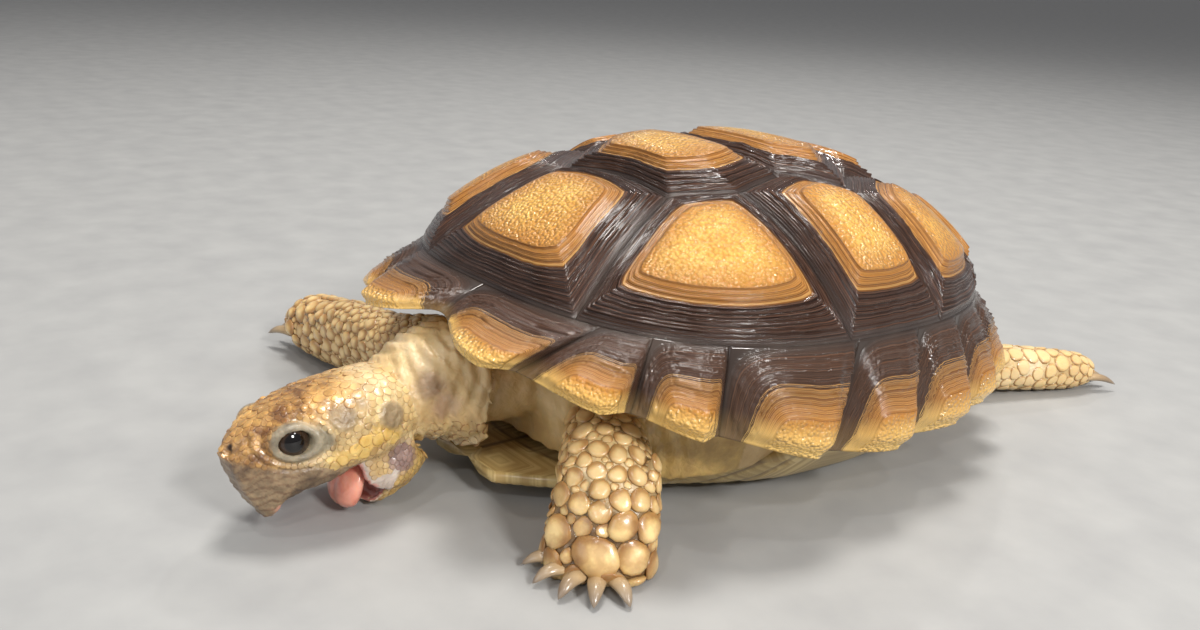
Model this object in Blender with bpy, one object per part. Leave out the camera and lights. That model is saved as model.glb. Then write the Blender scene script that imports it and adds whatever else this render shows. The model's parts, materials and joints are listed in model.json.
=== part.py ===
"""A juvenile sulcata tortoise as a still, life-size museum model.

The shell is laid out scute by scute: five vertebrals, four costals and eleven
marginals on each side, and one supracaudal.  The animal faces -Y, its left side
is +X, and it stands on z = 0.  Lengths below are in millimetres.
"""
import math

import bmesh
import bpy
from mathutils import Matrix, Vector

MM = 0.001
GAP = 0.3                 # clearance between touching pieces
TAU = math.tau
SHARP_ANGLE = math.radians(38)

# ---- shell, in its own level frame with z = 0 at the side rim ----
SHELL_LENGTH = 110.0
RIM_HALF_WIDTH = 42.0
RIM_POWER_FRONT, RIM_POWER_REAR = 2.45, 2.45
RIM_RISE_FRONT, RIM_RISE_REAR = 13.2, 4.0
SEAM_HALF_WIDTH = 41.0    # ring where costals meet marginals
SEAM_HALF_LENGTH = 44.8
SEAM_POWER_FRONT, SEAM_POWER_REAR = 2.75, 2.4
SEAM_HEIGHT = 17.2
SEAM_RISE_FRONT, SEAM_RISE_REAR = 0.9, 1.0
DOME_HEIGHT = 35.3
DOME_POWER, DOME_POWER_TURN = 2.65, -0.35
CORE = Vector((0.0, 0.0, 6.0))   # plates are thick towards this point
PLATE_THICKNESS = 2.0
SHELL_PITCH = math.radians(2.5)  # front edge carried a little higher
SIDE_RIM_HEIGHT = 11.0           # side rim above the floor

# ---- scute layout: across and forward as shares of the seam ring ----
V_FRONT = ((0.25, 0.46), (0.35, 0.035), (0.30, -0.35), (0.20, -0.66))
V_SIDE = ((0.37, 0.27), (0.485, -0.20), (0.37, -0.50))
V1_CORNER_ANGLE, V5_CORNER_ANGLE = 23.5, 156.0
COSTAL_ANGLES = (73.5, 103.0, 131.0)
MARGINAL_INNER = (0.0, 28.5, 37.0, 49.0, 75.5, 94.5, 110.0, 124.0, 137.0, 149.0, 159.0, 169.0)
MARGINAL_OUTER = (0.0, 19.1, 35.7, 49.0, 71.5, 93.5, 114.0, 125.5, 138.0, 150.0, 161.0, 172.0)
RIM_TOOTH = 1.1           # how far each marginal's point stands out
RIM_TOOTH_AT = 0.72       # where along the marginal the point sits
MARGINAL_BULGE = 1.3
RELIEF = ((1.0, 0.0), (0.965, 0.45), (0.62, 1.05), (0.55, 1.75), (0.0, 2.0))
UNDER_RINGS = (0.52,)

# ---- looks: colour and roughness ----
SKIN = ((0.62, 0.50, 0.29), 0.6)
HORN_TAN = ((0.63, 0.40, 0.15), 0.35)
HORN_DARK = ((0.17, 0.10, 0.075), 0.35)
HORN_PALE = ((0.66, 0.55, 0.30), 0.45)
EYE = ((0.03, 0.025, 0.02), 0.1)
TONGUE = ((0.75, 0.36, 0.32), 0.4)


def ring(angle, half_width, half_length, power_front, power_rear):
    """Lateral and forward distance of a superellipse at an angle from the front."""
    c, s = math.cos(angle), math.sin(angle)
    p = power_front if c > 0 else power_rear
    r = ((abs(s) / half_width) ** p + (abs(c) / half_length) ** p) ** (-1 / p)
    return r * s, r * c


def rise(angle, front, rear):
    c = math.cos(angle)
    return front * max(c, 0) ** 2 + rear * max(-c, 0) ** 2


def rim_point(angle, out=0.0):
    x, f = ring(angle, RIM_HALF_WIDTH + out, SHELL_LENGTH / 2 + out,
                RIM_POWER_FRONT, RIM_POWER_REAR)
    notch = math.exp(-(math.degrees(angle) / 7) ** 2)
    return Vector((x, -f + 2.6 * notch, rise(angle, RIM_RISE_FRONT, RIM_RISE_REAR) + 1.5 * notch))


def seam_point(angle):
    x, f = ring(angle, SEAM_HALF_WIDTH, SEAM_HALF_LENGTH, SEAM_POWER_FRONT, SEAM_POWER_REAR)
    return Vector((x, -f, SEAM_HEIGHT + rise(angle, SEAM_RISE_FRONT, SEAM_RISE_REAR)))


def dome_point(p, q):
    r = math.hypot(p, q)
    a = math.atan2(p, q)
    s = seam_point(a)
    k = r ** (DOME_POWER + DOME_POWER_TURN * math.cos(a))
    return Vector((s.x * r, s.y * r, s.z * k + DOME_HEIGHT * (1 - k)))


def outward(point):
    return (point - CORE).normalized()


def settle(point):
    """Shell frame to standing frame."""
    turned = Matrix.Rotation(-SHELL_PITCH, 3, 'X') @ point
    return turned + Vector((0, 0, SIDE_RIM_HEIGHT))


# ---------------------------------------------------------------- mesh helpers
MADE = []


def material(name, look):
    """A material for one piece, from a look of colour and roughness."""
    colour, rough = look
    m = bpy.data.materials.new(f'{name}_surface')
    m.use_nodes = True
    shader = m.node_tree.nodes['Principled BSDF']
    shader.inputs['Base Color'].default_value = (*colour, 1)
    shader.inputs['Roughness'].default_value = rough
    shader.inputs['Metallic'].default_value = 0.0
    return m


def add_mesh(name, verts, faces, mat, keep=True):
    mesh = bpy.data.meshes.new(name)
    mesh.from_pydata([tuple(v * MM) for v in verts], [], faces)
    mesh.validate()
    mesh.shade_smooth()
    mesh.set_sharp_from_angle(angle=SHARP_ANGLE)
    ob = bpy.data.objects.new(name, mesh)
    bpy.context.scene.collection.objects.link(ob)
    mesh.materials.append(material(name, mat))
    if keep:
        MADE.append(ob)
    else:
        ob.hide_render = True
        ob.display_type = 'WIRE'
    return ob


def cut(ob, cutter, operation='DIFFERENCE'):
    mod = ob.modifiers.new(operation.lower(), 'BOOLEAN')
    mod.operation = operation
    mod.solver = 'EXACT'
    mod.object = cutter


def shell_between(rings, cap_first, cap_last):
    """Verts and faces of a closed body from equal rings and two end points."""
    n = len(rings[0])
    verts = [v for r in rings for v in r]
    faces = []
    for k in range(len(rings) - 1):
        for i in range(n):
            j = (i + 1) % n
            faces.append((k * n + i, k * n + j, (k + 1) * n + j, (k + 1) * n + i))
    first = len(verts)
    verts += [cap_first, cap_last]
    last = (len(rings) - 1) * n
    for i in range(n):
        j = (i + 1) % n
        faces.append((first, j, i))
        faces.append((first + 1, last + i, last + j))
    return verts, faces


def mean(points):
    return sum(points, Vector((0, 0, 0))) / len(points)


# ------------------------------------------------------------ vertebrals, costals
def edge_points(a, b, count):
    """Points from a to b, along the ring when both are ring angles."""
    if a[0] == 'ring' and b[0] == 'ring':
        return [(math.sin(math.radians(a[1] + (b[1] - a[1]) * t / count)),
                 math.cos(math.radians(a[1] + (b[1] - a[1]) * t / count))) for t in range(count)]
    flat = []
    for c in (a, b):
        flat.append((math.sin(math.radians(c[1])), math.cos(math.radians(c[1])))
                    if c[0] == 'ring' else (c[1], c[2]))
    (p0, q0), (p1, q1) = flat
    return [(p0 + (p1 - p0) * t / count, q0 + (q1 - q0) * t / count) for t in range(count)]


def inset(outline, centre, width):
    """Pull an outline towards its centre by a small width on the dome."""
    out = []
    for p, q in outline:
        here = dome_point(p, q)
        reach = (here - dome_point(*centre)).length
        k = 1 - width / reach
        out.append((centre[0] + (p - centre[0]) * k, centre[1] + (q - centre[1]) * k))
    return out


def dome_plate(name, corners, centre, mat, per_edge=3, arc=5):
    outline = []
    for a, b in zip(corners, corners[1:] + corners[:1]):
        outline += edge_points(a, b, arc if a[0] == b[0] == 'ring' else per_edge)
    outline = inset(outline, centre, GAP * 0.75)

    def level(share, lift):
        pts = []
        for p, q in outline:
            base = dome_point(centre[0] + (p - centre[0]) * share, centre[1] + (q - centre[1]) * share)
            pts.append(settle(base + outward(base) * lift))
        return pts
    under = [level(s, -PLATE_THICKNESS) for s in UNDER_RINGS]
    rings = under + [level(1.0, -PLATE_THICKNESS)] + [level(s, h) for s, h in RELIEF[:-1]]
    middle = dome_point(*centre)
    verts, faces = shell_between(rings, settle(middle - outward(middle) * PLATE_THICKNESS),
                                 settle(middle + outward(middle) * RELIEF[-1][1]))
    return add_mesh(name, verts, faces, mat)


def at(p, q):
    return ('at', p, q)


def on_ring(angle):
    return ('ring', angle)


def mirrored(corners):
    out = [('ring', -c[1]) if c[0] == 'ring' else ('at', -c[1], c[2]) for c in corners]
    return out[::-1]


def build_vertebrals(mat):
    (h12, q12), (h23, q23), (h34, q34), (h45, q45) = V_FRONT
    (k12, s12), (k23, s23), (k34, s34) = V_SIDE
    dome_plate('scute_v1', [on_ring(V1_CORNER_ANGLE), on_ring(-V1_CORNER_ANGLE),
                            at(-h12, q12), at(h12, q12)], (0, 0.70), mat, 4, 5)
    dome_plate('scute_v2', [at(h12, q12), at(-h12, q12), at(-k12, s12), at(-h23, q23),
                            at(h23, q23), at(k12, s12)], (0, 0.245), mat)
    dome_plate('scute_v3', [at(h23, q23), at(-h23, q23), at(-k23, s23), at(-h34, q34),
                            at(h34, q34), at(k23, s23)], (0, -0.165), mat)
    dome_plate('scute_v4', [at(h34, q34), at(-h34, q34), at(-k34, s34), at(-h45, q45),
                            at(h45, q45), at(k34, s34)], (0, -0.50), mat)
    dome_plate('scute_v5', [at(h45, q45), at(-h45, q45), on_ring(-V5_CORNER_ANGLE),
                            on_ring(-360 + V5_CORNER_ANGLE)], (0, -0.82), mat, 4, 5)


def build_costals(mat):
    c12, c23, c34 = COSTAL_ANGLES
    (j12, j23, j34, j45), (s12, s23, s34) = V_FRONT, V_SIDE
    plans = {
        'c1': ([on_ring(V1_CORNER_ANGLE), at(*j12), at(*s12), on_ring(c12)], (0.50, 0.50)),
        'c2': ([on_ring(c12), at(*s12), at(*j23), at(*s23), on_ring(c23)], (0.66, 0.035)),
        'c3': ([on_ring(c23), at(*s23), at(*j34), at(*s34), on_ring(c34)], (0.62, -0.36)),
        'c4': ([on_ring(c34), at(*s34), at(*j45), on_ring(V5_CORNER_ANGLE)], (0.44, -0.68)),
    }
    for key, (corners, centre) in plans.items():
        # the ring edge closes the outline, so it is listed first-to-last
        closed = corners[::-1] if corners[0][0] == 'ring' else corners
        dome_plate(f'scute_{key}_left', closed[::-1], centre, mat)
        dome_plate(f'scute_{key}_right', mirrored(closed[::-1]), (-centre[0], centre[1]), mat)


# ---------------------------------------------------------------------- marginals
def marginal_point(s, t, lift, inner, outer):
    a = math.radians(inner[0] + (inner[1] - inner[0]) * s)
    b = math.radians(outer[0] + (outer[1] - outer[0]) * s)
    if s < RIM_TOOTH_AT:
        tooth = s / RIM_TOOTH_AT
    else:
        tooth = (1 - s) / (1 - RIM_TOOTH_AT)
    side = 1 if inner[0] + inner[1] >= 0 else -1
    high = seam_point(a)
    low = rim_point(abs(b), RIM_TOOTH * (tooth - 0.35))
    low.x *= side
    base = high.lerp(low, t)
    return base + outward(base) * (MARGINAL_BULGE * 4 * t * (1 - t) * 0.5 + lift)


def marginal_plate(name, inner, outer, mat, areola=(0.70, 0.72)):
    length = (rim_point(math.radians(outer[1])) - rim_point(math.radians(outer[0]))).length
    height = (seam_point(math.radians(inner[0])) - rim_point(math.radians(outer[0]))).length
    ds, dt = GAP * 0.75 / length, GAP * 0.9 / height
    s0, s1, t0, t1 = ds, 1 - ds, dt, 1.0
    loop = [(s0 + (s1 - s0) * i / 3, t0) for i in range(3)]
    loop += [(s1, t0 + (t1 - t0) * i / 2) for i in range(2)]
    bottom = (s1, (s1 + RIM_TOOTH_AT) / 2, RIM_TOOTH_AT, RIM_TOOTH_AT / 2)
    loop += [(s, t1) for s in bottom]
    loop += [(s0, t1 - (t1 - t0) * i / 2) for i in range(2)]

    def level(share, lift):
        pts = []
        for s, t in loop:
            u, w = areola[0] + (s - areola[0]) * share, areola[1] + (t - areola[1]) * share
            pts.append(settle(marginal_point(u, w, lift, inner, outer)))
        return pts

    def under(share):
        pts = []
        for s, t in loop:
            u, w = 0.5 + (s - 0.5) * share, 0.5 + (t - 0.5) * share
            pts.append(settle(marginal_point(u, w, -(PLATE_THICKNESS - 0.9 * w), inner, outer)))
        return pts
    rings = [under(1.0), level(1.0, 0.0), level(0.93, 0.35), level(0.55, 0.7), level(0.46, 1.1)]
    verts, faces = shell_between(rings, settle(marginal_point(0.5, 0.5, -PLATE_THICKNESS + 0.45, inner, outer)),
                                 settle(marginal_point(*areola, 1.2, inner, outer)))
    return add_mesh(name, verts, faces, mat)


def build_marginals(mat):
    for i in range(11):
        inner, outer = MARGINAL_INNER[i:i + 2], MARGINAL_OUTER[i:i + 2]
        marginal_plate(f'marginal_{i + 1:02d}_left', inner, outer, mat)
        left = bpy.data.objects[f'marginal_{i + 1:02d}_left'].data
        verts = [Vector((-v.co.x, v.co.y, v.co.z)) / MM for v in left.vertices]
        faces = [tuple(p.vertices)[::-1] for p in left.polygons]
        add_mesh(f'marginal_{i + 1:02d}_right', verts, faces, mat)
    last_in, last_out = MARGINAL_INNER[-1], MARGINAL_OUTER[-1]
    marginal_plate('supracaudal', (last_in, 360 - last_in), (last_out, 360 - last_out), mat, (0.5, 0.6))


# ------------------------------------------------------------------- body helpers
def fan_ring(centre, across, up, half_width, half_height, count, power=2.2):
    pts = []
    for i in range(count):
        a = TAU * i / count
        c, s = math.cos(a), math.sin(a)
        r = (abs(c) ** power + abs(s) ** power) ** (-1 / power)
        pts.append(centre + across * (half_width * c * r) + up * (half_height * s * r))
    return pts


def limb(name, spine, mat, count=14, floor=0.0, keep=True, power=2.2):
    """Loft along a spine of (point, half_width, half_height, width direction)."""
    rings = []
    for k, (point, wide, tall, across) in enumerate(spine):
        before, after = spine[max(k - 1, 0)][0], spine[min(k + 1, len(spine) - 1)][0]
        along = (Vector(after) - Vector(before)).normalized()
        side = Vector(across) - along * along.dot(Vector(across))
        side.normalize()
        up = along.cross(side)
        ring_pts = fan_ring(Vector(point), side, up, wide, tall, count, power)
        rings.append([Vector((v.x, v.y, max(v.z, floor))) for v in ring_pts])
    if spine[-1][0][2] <= floor:          # a standing foot ends in one flat sole
        rings[-1] = [Vector((v.x, v.y, floor)) for v in rings[-1]]
    ends = []
    for r, (point, *_rest) in ((rings[0], spine[0]), (rings[-1], spine[-1])):
        ends.append(Vector((mean(r).x, mean(r).y, max(mean(r).z, floor))))
    verts, faces = shell_between(rings, ends[0], ends[1])
    return add_mesh(name, verts, faces, mat, keep)


def claw(root, tip, radius):
    """Verts and faces of a short curved claw."""
    root, tip = Vector(root), Vector(tip)
    along = (tip - root).normalized()
    side = along.cross(Vector((0, 0, 1))).normalized()
    up = side.cross(along)
    middle = root.lerp(tip, 0.55) + up * radius * 0.25
    rings = [fan_ring(root, side, up, radius, radius * 0.8, 6),
             fan_ring(middle, side, up, radius * 0.75, radius * 0.6, 6)]
    rings = [[Vector((v.x, v.y, max(v.z, 0.05))) for v in r] for r in rings]
    return shell_between(rings, root, tip)


def outward_faces(ob):
    """Turn every face out, whatever way its loops were listed."""
    bm = bmesh.new()
    bm.from_mesh(ob.data)
    bmesh.ops.recalc_face_normals(bm, faces=bm.faces)
    if bm.calc_volume(signed=True) < 0:
        bmesh.ops.reverse_faces(bm, faces=bm.faces)
    bm.to_mesh(ob.data)
    bm.free()


# -------------------------------------------------------------- trunk and plastron
TRUNK_SIDES = 28
TRUNK_UNDER = 3.4         # how far the flesh lies under the plates
PLASTRON_UNDERSIDE = -9.6
PLASTRON_THICKNESS = 2.0
BELOW_FLOOR = -5.0        # the clearance body also frees the space over the plastron


def trunk_rings(shrink):
    def place(base, inward):
        return base - outward(base) * inward
    rings = []
    angles = [TAU * (i + 0.5) / TRUNK_SIDES for i in range(TRUNK_SIDES)]
    depth = TRUNK_UNDER + shrink
    for r in (0.3, 0.6, 0.85):
        rings.append([place(dome_point(r * math.sin(a), r * math.cos(a)), depth) for a in angles])
    rings.append([place(seam_point(a), depth + 0.3) for a in angles])
    skirt, floor_ring = [], []
    for a in angles:
        c = math.cos(a)
        front = max(c, 0) ** 2
        rear = max(-c, 0) ** 2
        reach = 0.55 - 0.25 * front - 0.1 * rear
        edge = rim_point(a) if a <= math.pi else mirror(rim_point(TAU - a))
        base = seam_point(a).lerp(edge, reach)
        skirt.append(place(base, depth + 0.8 + 4.5 * front + 3.0 * rear))
        x, f = ring(a, 32.0 - shrink, 37.5 - shrink, 3.0, 3.0)
        floor_ring.append(Vector((x, -f, PLASTRON_UNDERSIDE + PLASTRON_THICKNESS + GAP + 0.9 + shrink
                                  + 4.0 * abs(math.sin(a)) ** 6)))
    rings += [skirt, floor_ring]
    top = dome_point(0, 0)
    bottom = Vector((0, 0, PLASTRON_UNDERSIDE + PLASTRON_THICKNESS + GAP + 0.3 + shrink))
    return ([[settle(v) for v in r] for r in rings],
            settle(place(top, depth)), settle(bottom))


def mirror(v):
    return Vector((-v.x, v.y, v.z))


def build_trunk(mat, over_plastron):
    rings, top, bottom = trunk_rings(0.0)
    trunk = add_mesh('trunk', *shell_between(rings, top, bottom), mat)
    cut(trunk, over_plastron)
    rings, top, bottom = trunk_rings(-GAP)
    below = Vector((0, 0, BELOW_FLOOR))
    rings.append([Vector((v.x, v.y, BELOW_FLOOR)) for v in rings[-1]])
    return add_mesh('trunk_clearance', *shell_between(rings, top, below), mat, keep=False)


PLASTRON_STATIONS = (
    # forward place, half width of the flat, width of the wing, rise of the wing
    (-46.0, 7.5, 0.4, 0.4), (-41.0, 12.5, 0.5, 0.4), (-33.0, 17.5, 0.6, 0.5), (-25.0, 20.5, 1.2, 0.9),
    (-18.0, 24.0, 6.0, 5.0), (-9.0, 27.5, 8.6, 8.0), (2.0, 29.0, 8.4, 8.4), (12.0, 29.0, 7.4, 7.6),
    (19.0, 25.5, 4.5, 4.2), (25.0, 20.5, 1.0, 0.9), (32.0, 18.0, 0.6, 0.5), (40.0, 13.5, 0.5, 0.4),
    (45.0, 9.0, 0.4, 0.3))


def plastron_body(grow):
    """Bottom and top rows of the lower shell, swollen by a clearance."""
    half = ((0.0, 0.0), (0.5, 0.0), (1.0, 0.0), (1.0, 0.5), (1.0, 1.0))
    rows = []
    last = len(PLASTRON_STATIONS) - 1
    for k, (y, flat, wing, lift) in enumerate(PLASTRON_STATIONS):
        bottom, top = [], []
        ends = -grow if k == 0 else grow if k == last else 0.0
        for side in (-1, 1):
            for share, w in (half if side == 1 else half[:0:-1]):
                x = side * (flat * share + wing * w)
                z = PLASTRON_UNDERSIDE + lift * w ** 1.3
                fork = 0.0
                if k == 0:
                    fork = 3.2 * (1 - min(abs(x) / 4.0, 1.0)) - 0.5
                elif k == last:
                    fork = -6.0 * (1 - min(abs(x) / 6.5, 1.0)) + 0.6
                out = side * grow * w
                bottom.append(settle(Vector((x + out, y + fork + ends, z - grow))))
                inward = -side * w * min(1.8, 0.3 * wing)
                top.append(settle(Vector((x + inward + (out if w == 1 else 0), y + fork + ends,
                                          z + PLASTRON_THICKNESS - 0.4 * w + grow * (1 + 1.5 * w)))))
        if grow == 0:
            bottom = [Vector((v.x, v.y, 0.0 if v.z < 0.22 else v.z)) for v in bottom]
        rows.append(bottom + top[::-1])
    return shell_between(rows, mean(rows[0]), mean(rows[-1]))


def build_plastron(mat):
    add_mesh('plastron', *plastron_body(0.0), mat)
    return add_mesh('plastron_clearance', *plastron_body(GAP * 1.8), mat, keep=False)


# ---------------------------------------------------------------- head and neck
HEAD_AT = Vector((-5.0, -57.0, 15.6))
HEAD_YAW, HEAD_PITCH, HEAD_ROLL = math.radians(-2.0), math.radians(13.0), math.radians(-8.0)
EYE_PLACE, EYE_RADIUS = (16.4, 6.1, 1.9), 2.65
JAW_OPEN = math.radians(57)
JAW_HINGE = (4.4, -4.0)

HEAD_STATIONS = (
    # forward, half width, top, bottom, squareness
    (0.0, 7.6, 5.0, -7.2, 2.2), (3.0, 8.8, 5.5, -6.8, 2.2), (6.5, 9.3, 5.9, -5.8, 2.3),
    (10.0, 9.0, 6.2, -5.3, 2.4), (13.5, 8.2, 6.4, -5.9, 2.5), (17.0, 7.0, 6.2, -5.8, 2.5),
    (20.5, 5.5, 5.3, -6.5, 2.4), (23.2, 4.0, 4.2, -8.0, 2.3), (25.4, 2.6, 2.6, -8.3, 2.1))
BEAK_LEAN, BEAK_FROM = 0.058, 19.0    # the beak's face leans back below, more towards its tip
JAW_STATIONS = (
    # along the jaw, half width, top, bottom
    (0.6, 6.9, 0.0, -8.4), (3.2, 6.6, -0.2, -7.8), (6.0, 5.6, -0.4, -5.9),
    (8.2, 4.1, -0.4, -3.6), (9.4, 2.4, -0.1, -1.8))
TONGUE_STATIONS = (
    # along the jaw, half width, middle, half height
    (2.2, 3.2, 1.9, 1.2), (4.4, 3.8, 2.4, 1.6), (7.2, 3.5, 2.6, 1.7), (9.2, 2.3, 2.4, 1.2))


def head_axes():
    cy, sy = math.cos(HEAD_YAW), math.sin(HEAD_YAW)
    forward0, side0, up0 = Vector((-sy, -cy, 0)), Vector((cy, -sy, 0)), Vector((0, 0, 1))
    forward = forward0 * math.cos(HEAD_PITCH) - up0 * math.sin(HEAD_PITCH)
    up = up0 * math.cos(HEAD_PITCH) + forward0 * math.sin(HEAD_PITCH)
    side = side0 * math.cos(HEAD_ROLL) - up * math.sin(HEAD_ROLL)
    up = up * math.cos(HEAD_ROLL) + side0 * math.sin(HEAD_ROLL)
    return forward, side, up


def head_space(f, s, u):
    forward, side, up = head_axes()
    return HEAD_AT + forward * f + side * s + up * u


def ball(name, centre, radius, mat, keep=True, around=12, rows=8):
    rings = []
    for k in range(1, rows):
        a = math.pi * k / rows
        rings.append([centre + Vector((radius * math.sin(a) * math.cos(TAU * i / around),
                                       radius * math.sin(a) * math.sin(TAU * i / around),
                                       radius * math.cos(a))) for i in range(around)])
    verts, faces = shell_between(rings, centre + Vector((0, 0, radius)), centre - Vector((0, 0, radius)))
    return add_mesh(name, verts, faces, mat, keep)


def squarish(count, power):
    """Unit ring with squared shoulders."""
    for i in range(count):
        a = TAU * i / count
        c, k = math.cos(a), math.sin(a)
        r = (abs(c) ** power + abs(k) ** power) ** (-1 / power)
        yield c * r, k * r


def head_body(grow):
    rings = []
    for f, wide, top, bottom, power in HEAD_STATIONS:
        middle, tall = (top + bottom) / 2, (top - bottom) / 2 + grow
        lean = BEAK_LEAN * max(0.0, f - BEAK_FROM)
        ring_pts = []
        for c, k in squarish(20, power):
            u = middle + tall * k
            ring_pts.append(head_space(f + lean * min(u, 0.0), (wide + grow) * c, u))
        rings.append(ring_pts)
    return shell_between(rings, head_space(-grow, 0, 0), head_space(26.2 + grow, 0, 0.6))


def jaw_space(f, s, u):
    """Jaw coordinates start at the hinge and swing down with the gape."""
    c, k = math.cos(JAW_OPEN), math.sin(JAW_OPEN)
    return head_space(JAW_HINGE[0] + f * c + u * k, s, JAW_HINGE[1] - GAP * 3 - f * k + u * c)


def build_head(skin, eye_mat, tongue_mat):
    head = add_mesh('head', *head_body(0), skin)
    above_jaw = add_mesh('head_clearance', *head_body(GAP * 1.2), skin, keep=False)
    for side, label in ((1, 'left'), (-1, 'right')):
        centre = head_space(EYE_PLACE[0], side * EYE_PLACE[1], EYE_PLACE[2])
        ball(f'eye_{label}', centre, EYE_RADIUS, eye_mat)
        cut(head, ball(f'socket_{label}', centre, EYE_RADIUS + GAP, skin, keep=False))
    rings = []
    for f, wide, top, bottom in JAW_STATIONS:
        middle, tall = (top + bottom) / 2, (top - bottom) / 2
        rings.append([jaw_space(f, wide * c, middle + tall * k) for c, k in squarish(16, 2.4)])
    verts, faces = shell_between(rings, jaw_space(0.5, 0, -2.2), jaw_space(9.9, 0, -0.8))
    jaw = add_mesh('lower_jaw', verts, faces, skin)
    cut(jaw, above_jaw)
    rings = []
    for f, wide, middle, tall in TONGUE_STATIONS:
        rings.append([jaw_space(f, wide * c, middle + tall * k) for c, k in squarish(12, 2.0)])
    verts, faces = shell_between(rings, jaw_space(1.9, 0, 1.9), jaw_space(10.0, 0, 2.3))
    tongue = add_mesh('tongue', verts, faces, tongue_mat)
    cut(tongue, above_jaw)


def build_neck(mat, clearance):
    forward, side, up = head_axes()
    back = HEAD_AT - forward * GAP
    spine = [((-1.5, -34.0, 16.5), 11.5, 8.6), ((-2.2, -41.0, 16.4), 10.4, 9.2),
             ((-3.2, -47.5, 16.3), 9.2, 8.8), ((-4.2, -53.0, 15.7), 8.2, 8.0)]

    def body(grow):
        rings = [fan_ring(Vector(p), Vector((1, 0, 0)), Vector((0, 0, 1)), w + grow, h + grow, 18)
                 for p, w, h in spine]
        rings.append(fan_ring(back - up * 1.1, side, up, 7.4 + grow, 6.0 + grow, 18))
        return shell_between(rings, Vector(spine[0][0]), back)
    neck = add_mesh('neck', *body(0), mat)
    cut(neck, clearance)
    return add_mesh('neck_clearance', *body(GAP * 1.2), mat, keep=False)


# ------------------------------------------------------------------------- limbs
def foot_claws(limb_ob, label, roots, mat):
    """Join a foot's claws to it in one go."""
    verts, faces = [], []
    for root, tip, radius in roots:
        more, loops = claw(root, tip, radius)
        faces += [tuple(i + len(verts) for i in loop) for loop in loops]
        verts += more
    cut(limb_ob, add_mesh(f'claws_{label}', verts, faces, mat, keep=False), 'UNION')


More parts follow.
